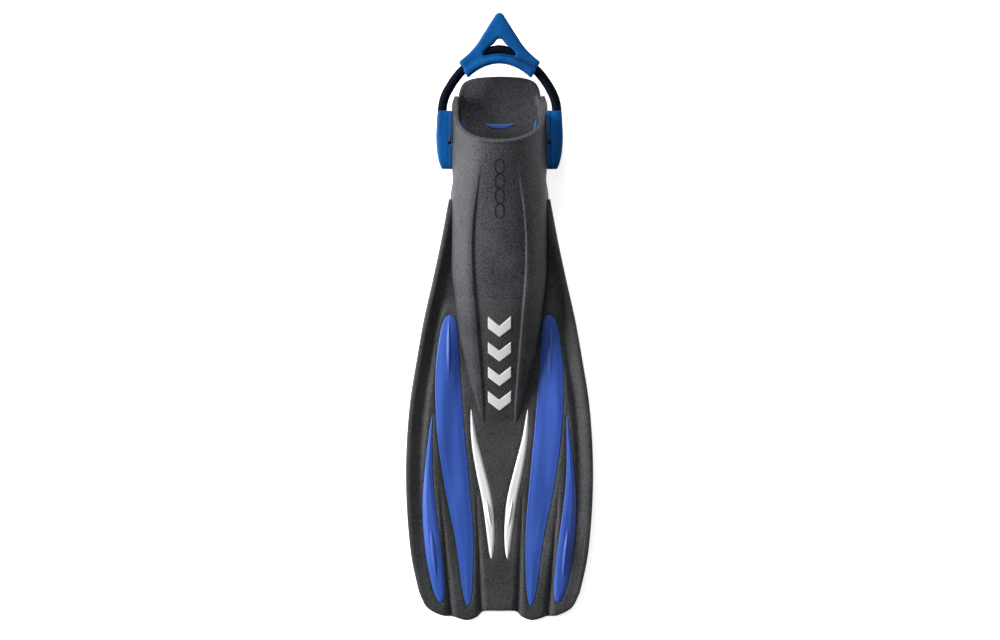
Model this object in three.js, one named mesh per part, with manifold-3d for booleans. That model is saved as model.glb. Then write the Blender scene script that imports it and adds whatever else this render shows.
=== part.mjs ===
// An open-heel swim fin: a rubber foot pocket on a stiff foot plate, a long channelled blade
// between two side rails, and a bungee heel strap that swings on a post at each side.
// Millimetres. +X to the wearer's right seen from the instep, -Y to the blade tip, +Z up.
// The origin is on the ground under the middle of the heel tread.
import * as THREE from 'three';
import { mergeVertices } from 'three/addons/utils/BufferGeometryUtils.js';
import Module from 'manifold-3d';

const wasm = await Module();
wasm.setup();

// ---- Driving dimensions -------------------------------------------------------------------
const GAP = 0.3;                // clearance between pieces that touch

const FOOT_LENGTH = 264;        // toe line to the heel edge, along the foot plate
const TREAD_TO_TOE = 228;       // middle of the heel tread to the toe line, along the ground
const FOOT_SLOPE = 0.105;       // rise of the foot plate from heel to toe, radians
const PLATE_THICK = 7;
const TREAD_THICK = 5;          // heel tread under the middle of the heel
const TREAD_SIZE = [70, 50];
const HEEL_HALF = 48;           // half width of the heel plate

const FOOT_HALF = 48;           // half width inside the pocket
const WALL = 5;                 // pocket wall at the sides and over the instep
const FLARE = 2.5;              // extra wall beside the toes, where the rails start
const FLARE_FROM = 145;         // where that extra wall starts, from the toe line
const TOE_WALL = 6;
const TOE_HALF = 51;            // half width outside at the toe line
const TOE_HEIGHT = 36;          // inside height at the toes
const INSTEP_HEIGHT = 85;       // inside height at the instep rim
const INSTEP_AT = 178;          // instep rim from the toe line
const MOUTH_AT = 240;           // where the mouth's edge meets the foot plate
const SPRING_SHARE = 0.33;      // height at which the upright sides turn into the arch
const RIM_WIDTH = 5;            // rolled rim round the mouth
const RIM_RISE = 1.6;

const BLADE_LENGTH = 378;       // toe line to the trailing edge
const BLADE_WIDTH = 220;
const PANEL_THICK = 4;
const RAIL_WIDTH = 7;
const RAIL_ROOT = 10;           // rail above and below the panel at the pocket
const RAIL_TIP = 3;             // the same at the tip
const INSERT_SINK = 0.5;        // inserts lie this far under the panel's faces
const KEEL_LENGTH = 150;
const KEEL_END_HALF = 17;
const KEEL_END_HEIGHT = 2;
const MARK_SIZE = [27, 24];     // white marks along the keel
const MARK_PITCH = 29.5;
const MARK_START = 18;
const MARK_THICK = 0.8;

const PIVOT = [-52, 40];        // strap post axis: Y and Z
const POST_RADIUS = 4.7;
const POST_HEAD = 6.6;
const POST_HEAD_THICK = 2.3;
const POST_FLANGE = [11, 1.9];  // radius and thickness
const STEM_RADIUS = 3.6;
const SCREW_HEAD = [6, 1.3];    // head of the screw that holds a post
const SCREW_RADIUS = 1.4;

const CORD_RADIUS = 5.5;
const BASE_THICK = 4.6;         // inner half of a strap terminal
const COVER_THICK = 13.8;       // outer half, round the cord
const TERMINAL_REAR = 45;       // pivot to the cord's mouth
const TERMINAL_FRONT = 23;      // pivot to the far end
const TERMINAL_HALF = 11.5;     // half height
const STOP_RADIUS = CORD_RADIUS + 0.5;
const STOP_LENGTH = 11.4;
const LATCH_TRAVEL = 2.5;

const PAD_HALF = 15;            // half height of the heel band
const LOOP_HALF = 8.5;          // half height of the finger loop and its shoulders
const LOOP_TOP = 108;           // back of the finger loop, from the origin

// ---- Materials ----------------------------------------------------------------------------
const paint = (color, roughness, metalness = 0) =>
  new THREE.MeshStandardMaterial({ color, roughness, metalness });
const pocketRubber = paint(0x2b2c2f, 0.75);
const bladePlastic = paint(0x34363a, 0.6);
const railRubber = paint(0x26272a, 0.7);
const treadRubber = paint(0x1b1b1d, 0.9);
const insertBlue = paint(0x32559f, 0.45);
const markWhite = paint(0xe9ebea, 0.5);
const strapBlue = paint(0x0a589c, 0.5);
const cordBlack = paint(0x0b0d14, 0.85);
const postPlastic = paint(0x17181a, 0.5);
const steel = paint(0xb8bcc2, 0.3, 1);

// ---- Geometry helpers ---------------------------------------------------------------------
// One closed body with merged corners and every face pointing out.
function closed(geometry) {
  const bare = new THREE.BufferGeometry();
  bare.setAttribute('position', geometry.getAttribute('position').clone());
  bare.setIndex(geometry.index ? geometry.index.clone() : null);
  const merged = mergeVertices(bare, 1e-4);
  const at = merged.getAttribute('position');
  const index = [...merged.index.array];
  const corners = [new THREE.Vector3(), new THREE.Vector3(), new THREE.Vector3()];
  const faces = [];
  let volume = 0;
  for (let i = 0; i < index.length; i += 3) {
    const [a, b, c] = index.slice(i, i + 3);
    if (a === b || b === c || c === a) continue;
    faces.push([a, b, c]);
    corners.forEach((corner, k) => corner.fromBufferAttribute(at, [a, b, c][k]));
    volume += corners[0].dot(corners[1].cross(corners[2]));
  }
  merged.setIndex(faces.flatMap(([a, b, c]) => (volume > 0 ? [a, b, c] : [a, c, b])));
  return merged;
}

function toSolid(geometry) {
  const body = closed(geometry);
  return new wasm.Manifold(new wasm.Mesh({
    numProp: 3,
    vertProperties: Float32Array.from(body.getAttribute('position').array),
    triVerts: Uint32Array.from(body.index.array),
  }));
}

function toGeometry(solid) {
  const mesh = solid.getMesh();
  const geometry = new THREE.BufferGeometry();
  geometry.setAttribute('position', new THREE.BufferAttribute(mesh.vertProperties, 3));
  geometry.setIndex(new THREE.BufferAttribute(mesh.triVerts, 1));
  return geometry;
}

const cut = (body, ...tools) =>
  toGeometry(tools.reduce((solid, tool) => solid.subtract(toSolid(tool)), toSolid(body)));
const join = (body, ...others) =>
  toGeometry(others.reduce((solid, other) => solid.add(toSolid(other)), toSolid(body)));
const common = (body, other) => toGeometry(toSolid(body).intersect(toSolid(other)));

// A closed body through rings of equally many corners, with a fan over each end.
function loft(rings) {
  const count = rings[0].length;
  const centre = (ring) => ring.reduce((sum, p) => sum.add(p), new THREE.Vector3())
    .divideScalar(count);
  const points = [...rings.flat(), centre(rings[0]), centre(rings.at(-1))];
  const start = rings.length * count;
  const index = [];
  for (let r = 0; r < rings.length - 1; r++) {
    for (let i = 0; i < count; i++) {
      const a = r * count + i;
      const b = r * count + (i + 1) % count;
      index.push(a, a + count, b + count, a, b + count, b);
    }
  }
  for (let i = 0; i < count; i++) {
    const next = (i + 1) % count;
    index.push(start, i, next, start + 1, start - count + next, start - count + i);
  }
  const geometry = new THREE.BufferGeometry().setFromPoints(points);
  geometry.setIndex(index);
  return geometry;
}

// A flat plate of an outline in plan, between two heights.
function plate(outline, low, high) {
  const geometry = new THREE.ExtrudeGeometry(new THREE.Shape(outline),
    { depth: high - low, bevelEnabled: false });
  return geometry.translate(0, 0, low);
}

function box(low, high) {
  const size = high.map((value, i) => value - low[i]);
  return new THREE.BoxGeometry(...size)
    .translate(...low.map((value, i) => value + size[i] / 2));
}

// A body of revolution about the X axis, from its profile of [x, radius].
function turned(profile, sides = 18) {
  const points = profile.map(([x, radius]) => new THREE.Vector2(radius, x));
  return new THREE.LatheGeometry(points, sides).rotateZ(-Math.PI / 2);
}
const disc = (from, to, radius, sides = 18) =>
  turned([[from, 0], [from, radius], [to, radius], [to, 0]], sides);

// A round bar along a curve, or along the part of it between two shares of its length.
class CurvePart extends THREE.Curve {
  constructor(whole, from, to) {
    super();
    Object.assign(this, { whole, from, to });
  }
  getPoint(t) {
    return this.whole.getPointAt(this.from + (this.to - this.from) * t);
  }
}
function tube(path, radius, steps, sides = 12) {
  const ring = Array.from({ length: sides }, (_, i) => {
    const angle = 2 * Math.PI * i / sides;
    return new THREE.Vector2(radius * Math.cos(angle), radius * Math.sin(angle));
  });
  return new THREE.ExtrudeGeometry(new THREE.Shape(ring), { steps, extrudePath: path });
}
const through = (points) =>
  new THREE.CatmullRomCurve3(points.map(([x, y, z = 0]) => new THREE.Vector3(x, y, z)));

// The other side's copy of a body.
const mirrored = (geometry) => geometry.clone().scale(-1, 1, 1);
const onSide = (geometry, side) => (side > 0 ? geometry : mirrored(geometry));
const SIDES = [['left', -1], ['right', 1]];

// ---- The assembly's frames ----------------------------------------------------------------
// The toe line is the crest of the fin: the foot plate slopes down from it to the heel and
// the blade slopes down from it to the tip, so the heel tread and the rail ends touch the ground.
const RAIL_END_SHARE = 0.9127;
const toeHeight = TREAD_THICK + PLATE_THICK + TREAD_TO_TOE * Math.tan(FOOT_SLOPE);
const bladeSlope = Math.asin(
  (toeHeight - PANEL_THICK - RAIL_TIP) / (BLADE_LENGTH * RAIL_END_SHARE));

const fin = new THREE.Group();
const foot = new THREE.Group();
const blade = new THREE.Group();
const strap = new THREE.Group();
foot.position.set(0, -TREAD_TO_TOE, toeHeight);
foot.rotation.x = -FOOT_SLOPE;
blade.position.copy(foot.position);
blade.rotation.x = bladeSlope;
strap.position.set(0, ...PIVOT);
fin.add(foot, blade, strap);
fin.updateMatrixWorld(true);
const bladeInFoot = foot.matrixWorld.clone().invert().multiply(blade.matrixWorld);

function place(group, name, geometry, material) {
  const mesh = new THREE.Mesh(closed(geometry), material);
  mesh.name = name;
  group.add(mesh);
}

// ---- Foot pocket --------------------------------------------------------------------------
// An arched section: upright sides that turn into a slightly squared elliptic roof.
const ARCH_STEPS = 18;
const ROUNDNESS = 0.94;
function arch(y, half, top, floor, lean = 0) {
  const spring = SPRING_SHARE * top;
  const roof = Array.from({ length: ARCH_STEPS + 1 }, (_, i) => {
    const angle = Math.PI * i / ARCH_STEPS;
    const across = Math.sign(Math.cos(angle)) * Math.abs(Math.cos(angle)) ** ROUNDNESS;
    return [half * across, spring + (top - spring) * Math.sin(angle) ** ROUNDNESS];
  });
  return [[half, floor], ...roof, [-half, floor]]
    .map(([x, z]) => new THREE.Vector3(x, y + lean * z, z));
}

const roofInside = (y) =>
  TOE_HEIGHT + (INSTEP_HEIGHT - TOE_HEIGHT) * (Math.max(y, 0) / INSTEP_AT) ** 1.2;
const outsideHalf = (y) => {
  if (y > FLARE_FROM) return FOOT_HALF + WALL;
  const toeRounding = Math.max(0, 1 - y / 34) ** 1.5;
  const full = FOOT_HALF + WALL + FLARE * Math.min(1, (FLARE_FROM - y) / 12);
  return full + (TOE_HALF - full) * toeRounding;
};
const TOE_STATIONS = [0, 8, 18, 34];
const pocketStations = [...TOE_STATIONS, 60, 90, 120, FLARE_FROM - 12, FLARE_FROM, INSTEP_AT,
  210, MOUTH_AT + 15];
const pocketOutside = (grow) => loft(pocketStations.map((y) =>
  arch(y, outsideHalf(y) + grow, roofInside(y) + WALL + grow, GAP)));

function pocketInside() {
  const toe = [[TOE_WALL, 0.72], [TOE_WALL + 5, 0.85], [TOE_WALL + 14, 0.95], [40, 1]];
  const rings = toe.map(([y, share]) => arch(y, FOOT_HALF * share, roofInside(y) * share, -5));
  const rest = [70, 100, 130, INSTEP_AT, 210, MOUTH_AT + 20]
    .map((y) => arch(y, FOOT_HALF, roofInside(y), -5));
  return loft([...rings, ...rest]);
}

// Everything on the heel side of the mouth's slanting plane, moved toward the toe by `back`.
function behindMouth(back) {
  const lean = Math.atan2(INSTEP_HEIGHT, MOUTH_AT - INSTEP_AT);
  return box([-150, 0, -200], [150, 300, 300])
    .rotateX(Math.PI / 2 - lean)
    .translate(0, MOUTH_AT - back / Math.sin(lean), 0);
}

function footPocket() {
  const pivot = foot.worldToLocal(new THREE.Vector3(0, ...PIVOT));
  const holes = SIDES.flatMap(([, side]) => [
    disc(FOOT_HALF - 2, FOOT_HALF + WALL + 2, STEM_RADIUS + GAP),
    disc(FOOT_HALF - 2, FOOT_HALF + SCREW_HEAD[1] + GAP, SCREW_HEAD[0] + GAP),
  ].map((hole) => onSide(hole, side).translate(0, pivot.y, pivot.z)));
  const rim = common(pocketOutside(RIM_RISE), behindMouth(RIM_WIDTH));
  const shell = join(pocketOutside(0), rim);
  return cut(shell, pocketInside(), behindMouth(0), ...holes);
}

// ---- Outlines in plan ---------------------------------------------------------------------
// A leaf round a spine: `peak` is where along it the leaf is widest, `blunt` how full its ends
// are, and `grow` widens it all round.
function leaf(spine, half, peak, blunt, grow = 0) {
  const curve = new THREE.SplineCurve(spine.map(([x, y]) => new THREE.Vector2(x, y)));
  const steps = 18;
  const skew = Math.log(0.5) / Math.log(peak);
  const [left, right] = [[], []];
  for (let i = 1; i < steps; i++) {
    const t = i / steps;
    const width = half * Math.sin(Math.PI * t ** skew) ** blunt + grow;
    const along = curve.getTangent(t);
    const point = curve.getPoint(t);
    const across = new THREE.Vector2(-along.y, along.x).multiplyScalar(width);
    left.push(point.clone().add(across));
    right.unshift(point.clone().sub(across));
  }
  const ends = [0, 1].map((t) => {
    const reach = curve.getTangent(t).multiplyScalar(t ? 2 * grow : -2 * grow);
    return curve.getPoint(t).add(reach);
  });
  return [ends[0], ...left, ends[1], ...right];
}

// ---- Foot plate, slots and treads ---------------------------------------------------------
const crescent = (grow) =>
  leaf([[-19, 210], [-10, 205], [0, 203.2], [10, 205], [19, 210]], 2.6, 0.5, 0.6, grow);
const sideSlot = (grow) =>
  leaf([[43.5, 212], [42.6, 206], [40, 199]], 1.6, 0.5, 0.6, grow);

function plateOutline() {
  const right = new THREE.Path();
  right.moveTo(0, FOOT_LENGTH);
  right.quadraticCurveTo(20, FOOT_LENGTH, 25, FOOT_LENGTH - 1.5);
  right.quadraticCurveTo(40, FOOT_LENGTH - 3, 42, FOOT_LENGTH - 10);
  right.quadraticCurveTo(HEEL_HALF, FOOT_LENGTH - 22, HEEL_HALF, MOUTH_AT - 2);
  right.lineTo(FOOT_HALF + WALL, MOUTH_AT - 16);
  const heel = right.getPoints(5);
  const sides = [FLARE_FROM, FLARE_FROM - 12, ...TOE_STATIONS.toReversed()]
    .map((y) => new THREE.Vector2(outsideHalf(y), Math.max(y, GAP)));
  const half = [...heel, ...sides];
  const other = half.slice(1).reverse().map(({ x, y }) => new THREE.Vector2(-x, y));
  return [...half, ...other];
}

function footPlate() {
  const slots = [crescent(GAP), sideSlot(GAP)].map((outline) =>
    plate(outline, -PLATE_THICK - 1, 1));
  const beyondToe = box([-150, -60, -60], [150, 0, 60]).applyMatrix4(bladeInFoot);
  return cut(plate(plateOutline(), -PLATE_THICK, 0), ...slots, mirrored(slots[1]), beyondToe);
}

function roundedOutline(width, length, radius) {
  const [x, y] = [width / 2 - radius, length / 2 - radius];
  const corners = [[x, y, 0], [-x, y, 1], [-x, -y, 2], [x, -y, 3]];
  return corners.flatMap(([cx, cy, quarter]) => Array.from({ length: 5 }, (_, i) => {
    const angle = Math.PI / 2 * (quarter + i / 4);
    return new THREE.Vector2(cx + radius * Math.cos(angle), cy + radius * Math.sin(angle));
  }));
}

// The heel tread is a wedge: flat on the ground, its top against the sloping foot plate.
function heelTread() {
  const above = box([-100, -20, -PLATE_THICK - GAP], [100, FOOT_LENGTH + 60, 80])
    .applyMatrix4(foot.matrixWorld);
  return cut(plate(roundedOutline(...TREAD_SIZE, 12), 0, 2 * PLATE_THICK), above);
}

// ---- Blade --------------------------------------------------------------------------------
// The blade's edge as shares of its half width and of its length past the toe line.
const bladePoint = ([across, along]) =>
  new THREE.Vector2(across * BLADE_WIDTH / 2, -along * BLADE_LENGTH);
const edge = new THREE.SplineCurve([
  [0.540, -0.312], [0.622, -0.185], [0.713, -0.061], [0.808, 0.0625], [0.883, 0.185],
  [0.952, 0.31], [0.989, 0.434], [1, 0.556], [0.984, 0.68], [0.941, 0.805],
  [0.862, RAIL_END_SHARE],
].map(bladePoint));
const trailing = new THREE.SplineCurve([
  [0.862, RAIL_END_SHARE + GAP / BLADE_LENGTH], [0.776, 0.96], [0.63, 0.984], [0.5, 0.989],
  [0.351, 1], [0.236, 0.989], [0.164, 0.972], [0, 0.971],
].map(bladePoint));
const edgePoints = edge.getPoints(22);
const pocketSide = FOOT_HALF + WALL + FLARE + GAP;
const railInside = (x) => Math.max(x - RAIL_WIDTH, pocketSide);

function bladeOutline() {
  const wing = edgePoints.map(({ x, y }) => new THREE.Vector2(railInside(x) - GAP, y))
    .filter(({ x }) => x > pocketSide + 1.5);
  const last = wing.at(-1);
  const half = [
    ...TOE_STATIONS.map((y) => new THREE.Vector2(outsideHalf(y) + 2 * GAP, y || -GAP)),
    new THREE.Vector2(pocketSide, wing[0].y),
    ...wing,
    new THREE.Vector2(last.x, last.y - GAP),
    ...trailing.getPoints(18),
  ];
  const other = half.slice(0, -1).reverse().map(({ x, y }) => new THREE.Vector2(-x, y));
  return [...half, ...other];
}

// The three pairs of soft inserts let into the blade, for the right half. A spine is in shares
// of the blade's half width and length, so an insert follows the blade's outline.
const INSERTS = [
  { name: 'insert_inner', material: insertBlue, half: 15.9, peak: 0.4, blunt: 0.55,
    spine: [[0.526, 0.047], [0.551, 0.217], [0.521, 0.402], [0.452, 0.577], [0.373, 0.749],
      [0.335, 0.955]] },
  { name: 'insert_outer', material: insertBlue, half: 9.3, peak: 0.71, blunt: 0.45,
    spine: [[0.718, 0.356], [0.755, 0.526], [0.75, 0.651], [0.696, 0.799], [0.622, 0.944]] },
  { name: 'insert_centre', material: markWhite, half: 5.7, peak: 0.58, blunt: 0.6,
    spine: [[0.303, 0.34], [0.271, 0.434], [0.207, 0.526], [0.133, 0.624], [0.095, 0.725],
      [0.085, 0.807]] },
];
const insertOutline = ({ spine, half, peak, blunt }, grow) =>
  leaf(spine.map(bladePoint).map(({ x, y }) => [x, y]), half * BLADE_WIDTH / 220, peak, blunt, grow);

function bladePanel() {
  const windows = INSERTS.flatMap((insert) => {
    const hole = plate(insertOutline(insert, GAP), -PANEL_THICK - 1, 1);
    return [hole, mirrored(hole)];
  });
  return cut(plate(bladeOutline(), -PANEL_THICK, 0), ...windows);
}

// A side rail: a rounded bar along the blade's edge, deep at the pocket and shallow at the tip.
function sideRail() {
  const rings = edgePoints.map(({ x, y }, i) => {
    const reach = RAIL_ROOT + (RAIL_TIP - RAIL_ROOT) * i / (edgePoints.length - 1);
    const [inner, outer] = [railInside(x), x];
    const [low, high] = [-PANEL_THICK - reach, reach];
    const soft = 0.28 * (outer - inner);
    return [[outer, low + soft], [outer, high - soft], [outer - soft, high], [inner + soft, high],
      [inner, high - soft], [inner, low + soft], [inner + soft, low], [outer - soft, low],
    ].map(([px, pz]) => new THREE.Vector3(px, y, pz));
  });
  return loft(rings);
}

// The keel carries the pocket's arch on down the blade. Its first face leans back to the toe.
const keelLean = Math.tan(FOOT_SLOPE + bladeSlope);
const keelShare = (y) => Math.max(0, 1 + y / KEEL_LENGTH);
const keelHalf = (y) => KEEL_END_HALF + (TOE_HALF - KEEL_END_HALF) * (1 - (1 - keelShare(y)) ** 1.4);
const keelTop = (y) =>
  KEEL_END_HEIGHT + (TOE_HEIGHT + WALL - KEEL_END_HEIGHT) * keelShare(y) ** 1.15;
function keel(grow) {
  const stations = [0, 0.1, 0.22, 0.36, 0.5, 0.64, 0.78, 0.9, 1];
  return loft(stations.map((share) => {
    const y = -2 * GAP - share * KEEL_LENGTH;
    return arch(y, keelHalf(y) + grow, keelTop(y) + grow, GAP, share ? 0 : keelLean);
  }));
}

// A chevron that points to the tip, laid on the keel's roof.
function mark(number) {
  const [width, length] = MARK_SIZE;
  const top = -MARK_START - number * MARK_PITCH;
  const bar = 9;
  const outline = [[-width / 2, top], [0, top - length + bar], [width / 2, top],
    [width / 2, top - bar], [0, top - length], [-width / 2, top - bar]]
    .map(([x, y]) => new THREE.Vector2(x, y));
  const skin = cut(keel(GAP + MARK_THICK), keel(GAP));
  return common(skin, plate(outline, KEEL_END_HEIGHT, TOE_HEIGHT + 2 * WALL));
}

// ---- Strap posts --------------------------------------------------------------------------
// Along X from the pocket's inside face: screw head, stem, flange, neck with a groove, head.
const wallOut = FOOT_HALF + WALL;
const stemStart = FOOT_HALF + SCREW_HEAD[1] + 2 * GAP;
const flangeStart = wallOut + GAP;
const flangeEnd = flangeStart + POST_FLANGE[1];
const baseStart = flangeEnd + GAP;
const baseEnd = baseStart + BASE_THICK;
const coverStart = baseEnd + GAP;
const grooveFrom = baseStart + 1.4;
const grooveTo = baseEnd - 0.4;
const GROOVE_RADIUS = POST_RADIUS - 1;
const headStart = baseEnd + GAP;
const screwEnd = baseEnd - 2;

const post = () => turned([
  [screwEnd + GAP, 0], [screwEnd + GAP, SCREW_RADIUS + GAP], [stemStart, SCREW_RADIUS + GAP],
  [stemStart, STEM_RADIUS], [flangeStart, STEM_RADIUS], [flangeStart, POST_FLANGE[0]],
  [flangeEnd, POST_FLANGE[0]], [flangeEnd, POST_RADIUS], [grooveFrom, POST_RADIUS],
  [grooveFrom, GROOVE_RADIUS], [grooveTo, GROOVE_RADIUS], [grooveTo, POST_RADIUS],
  [headStart, POST_RADIUS], [headStart, POST_HEAD], [headStart + POST_HEAD_THICK, POST_HEAD],
  [headStart + POST_HEAD_THICK, 0],
]);
const screwHeadStart = FOOT_HALF + GAP;
const postScrew = () => turned([
  [screwHeadStart, 0], [screwHeadStart, SCREW_HEAD[0]],
  [screwHeadStart + SCREW_HEAD[1], SCREW_HEAD[0]],
  [screwHeadStart + SCREW_HEAD[1], SCREW_RADIUS], [screwEnd, SCREW_RADIUS], [screwEnd, 0],
], 14);

// ---- Strap terminals ----------------------------------------------------------------------
// Half height and outer reach of a terminal at shares of its way from front to rear.
const terminalStations = [
  [0, 0.45, 0.42], [0.07, 0.74, 0.66], [0.2, 0.9, 0.86], [0.4, 0.97, 0.97], [0.62, 1, 1],
  [0.86, 1, 1], [0.95, 0.96, 0.95], [1, 0.88, 0.86],
];
function terminalBody(from, thick, taper) {
  return loft(terminalStations.map(([share, tall, deep]) => {
    const y = -TERMINAL_FRONT + share * (TERMINAL_REAR + TERMINAL_FRONT);
    const [half, reach] = [TERMINAL_HALF * tall, thick * (taper ? deep : 1)];
    const ring = Array.from({ length: 11 }, (_, i) => {
      const angle = Math.PI * (i / 10 - 0.5);
      const boxy = taper ? 0.55 : 0.2;
      return [from + reach * Math.cos(angle) ** boxy,
        half * Math.sign(Math.sin(angle)) * Math.abs(Math.sin(angle)) ** boxy];
    });
    return [[from, -half], ...ring.slice(1, -1), [from, half]]
      .map(([x, z]) => new THREE.Vector3(x, y, z));
  }));
}

const cordX = coverStart + 0.8 + CORD_RADIUS + GAP;
const stopFrom = POST_HEAD + 2;
const stopTo = stopFrom + STOP_LENGTH;
const alongY = (geometry, x) => geometry.rotateZ(Math.PI / 2).translate(x, 0, 0);

const TERMINAL_SCREWS = [[-14, 0], [30, -8.7]];
const terminalHead = [2.6, 1.4];
const TERMINAL_SCREW_END = 7;   // how far the screws reach into the cover
const at = (geometry, y, z) => geometry.translate(0, y, z);

function terminalCover() {
  const screwHoles = TERMINAL_SCREWS.map(([y, z]) =>
    at(disc(coverStart - 1, coverStart + TERMINAL_SCREW_END + GAP, SCREW_RADIUS + GAP, 10), y, z));
  return cut(terminalBody(coverStart, COVER_THICK, true),
    alongY(disc(stopTo - 1, TERMINAL_REAR + 5, CORD_RADIUS + GAP), cordX),
    box([coverStart - 1, stopFrom - GAP, -STOP_RADIUS - GAP],
      [cordX + STOP_RADIUS + GAP, stopTo + GAP, STOP_RADIUS + GAP]),
    disc(coverStart - 1, headStart + POST_HEAD_THICK + GAP, POST_HEAD + 2 * GAP),
    ...screwHoles);
}

const LATCH = {
  y: [POST_RADIUS + 3.6, POST_RADIUS + 10],
  z: [-2, TERMINAL_HALF + 1.5],
  nose: [GROOVE_RADIUS + GAP, -1.5, -0.3],
};
const latchX = [grooveFrom + GAP, grooveTo - GAP];
const SPRING_LOW = -9.2;
function terminalBase() {
  const [front, rear] = LATCH.y;
  const slotX = [latchX[0] - GAP, baseEnd + 1];
  const screwHoles = TERMINAL_SCREWS.flatMap(([y, z]) => [
    at(disc(baseStart - 1, baseEnd + 1, SCREW_RADIUS + GAP, 10), y, z),
    at(disc(baseStart - 1, baseStart + terminalHead[1] + 2 * GAP, terminalHead[0] + GAP, 10), y, z),
  ]);
  return cut(terminalBody(baseStart, BASE_THICK, false),
    disc(baseStart - 1, baseEnd + 1, POST_RADIUS + GAP),
    box([slotX[0], front - GAP, SPRING_LOW - GAP], [slotX[1], rear + GAP, 20]),
    box([slotX[0], 0, LATCH.nose[1] - LATCH_TRAVEL - GAP],
      [slotX[1], front, LATCH.nose[2] + GAP]),
    ...screwHoles);
}

function latch() {
  const [front, rear] = LATCH.y;
  const [tip, noseLow, noseHigh] = LATCH.nose;
  return join(box([latchX[0], front, LATCH.z[0]], [latchX[1], rear, LATCH.z[1]]),
    box([latchX[0], tip, noseLow], [latchX[1], front + 1, noseHigh]));
}

function latchSpring() {
  const [turns, steps, coil] = [3, 8, 0.8];
  const [low, high] = [SPRING_LOW + 0.35, LATCH.z[0] - 0.6];
  const middle = [(latchX[0] + latchX[1]) / 2, (LATCH.y[0] + LATCH.y[1]) / 2];
  const points = Array.from({ length: turns * steps + 1 }, (_, i) => {
    const angle = 2 * Math.PI * i / steps;
    return [middle[0] + coil * Math.cos(angle) * 0.8, middle[1] + coil * Math.sin(angle),
      low + (high - low) * i / (turns * steps)];
  });
  return tube(through(points), 0.25, turns * steps, 5);
}

const cordStop = () => alongY(disc(stopFrom, stopTo - GAP, STOP_RADIUS, 16), cordX);
const terminalScrew = () => turned([
  [baseStart + GAP, 0], [baseStart + GAP, terminalHead[0]],
  [baseStart + GAP + terminalHead[1], terminalHead[0]],
  [baseStart + GAP + terminalHead[1], SCREW_RADIUS],
  [coverStart + TERMINAL_SCREW_END, SCREW_RADIUS], [coverStart + TERMINAL_SCREW_END, 0],
], 10);

// ---- Bungee and heel pad, laid out from the origin ------------------------------------------
const [pivotY] = PIVOT;
const toStrap = (geometry) => geometry.translate(0, -pivotY, 0);
// Half of the bungee's route, from its stop in the right terminal to the middle of the pad.
const halfRoute = [[cordX, pivotY + stopTo], [cordX, -19], [cordX, -7], [65.8, 3], [62.8, 12],
  [58.6, 20], [53.6, 28], [48.3, 35], [42.8, 41], [35.5, 47.5], [26, 54.6], [14, 61.6], [0, 64.8]];
const bungee = through(
  [...halfRoute, ...halfRoute.slice(0, -1).reverse().map(([x, y]) => [-x, y])]);
const bungeeLength = bungee.getLength();
const LEG_SHARE = 0.3;          // the part of the bungee on each side of the heel pad
const endGap = GAP / bungeeLength;
const bungeeLeg = new CurvePart(bungee, 0, LEG_SHARE - endGap);
const bungeeMiddle = new CurvePart(bungee, LEG_SHARE, 1 - LEG_SHARE);

function padOutline() {
  const shape = new THREE.Path();
  shape.moveTo(-4.5, LOOP_TOP - 1.5);
  shape.quadraticCurveTo(0, LOOP_TOP + 1.5, 4.5, LOOP_TOP - 1.5);
  shape.lineTo(23.4, 76);
  shape.quadraticCurveTo(31, 63, 48, 50.3);
  shape.lineTo(37, 31.6);
  shape.quadraticCurveTo(20, 48, 0, 48.7);
  shape.quadraticCurveTo(-20, 48, -37, 31.6);
  shape.lineTo(-48, 50.3);
  shape.quadraticCurveTo(-31, 63, -23.4, 76);
  return shape.getPoints(7);
}

function bandOutline() {
  const shape = new THREE.Path();
  shape.moveTo(37, 31.6);
  shape.quadraticCurveTo(20, 48, 0, 48.7);
  shape.quadraticCurveTo(-20, 48, -37, 31.6);
  shape.lineTo(-41.5, 38.4);
  shape.quadraticCurveTo(-22, 55.5, 0, 56.5);
  shape.quadraticCurveTo(22, 55.5, 41.5, 38.4);
  return shape.getPoints(7);
}

function heelPad() {
  const window = new THREE.Path();
  window.moveTo(2, 76.5);
  window.quadraticCurveTo(0, 79, -2, 76.5);
  window.lineTo(-18.5, 61.5);
  window.quadraticCurveTo(-20, 59, -17, 58.6);
  window.quadraticCurveTo(0, 61, 17, 58.6);
  window.quadraticCurveTo(20, 59, 18.5, 61.5);
  const body = join(plate(padOutline(), -LOOP_HALF, LOOP_HALF),
    plate(bandOutline(), -PAD_HALF, PAD_HALF));
  return cut(body, plate(window.getPoints(6), -LOOP_HALF - 1, LOOP_HALF + 1),
    tube(new CurvePart(bungee, LEG_SHARE - 0.02, 1.02 - LEG_SHARE), CORD_RADIUS + GAP, 22));
}

// ---- Assembly -----------------------------------------------------------------------------
place(foot, 'foot_pocket', footPocket(), pocketRubber);
place(foot, 'foot_plate', footPlate(), bladePlastic);
place(foot, 'sole_slot_insert', plate(crescent(0), -PLATE_THICK, 0.6), insertBlue);
place(foot, 'ball_tread', plate(roundedOutline(84, 60, 16), -3, 0)
  .translate(0, 75, -PLATE_THICK - GAP), treadRubber);
place(fin, 'heel_tread', heelTread(), treadRubber);

place(blade, 'blade_panel', bladePanel(), bladePlastic);
place(blade, 'blade_keel', keel(0), bladePlastic);
for (let number = 0; number < 4; number++) {
  place(blade, `keel_mark_${number + 1}`, mark(number), markWhite);
}

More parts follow.
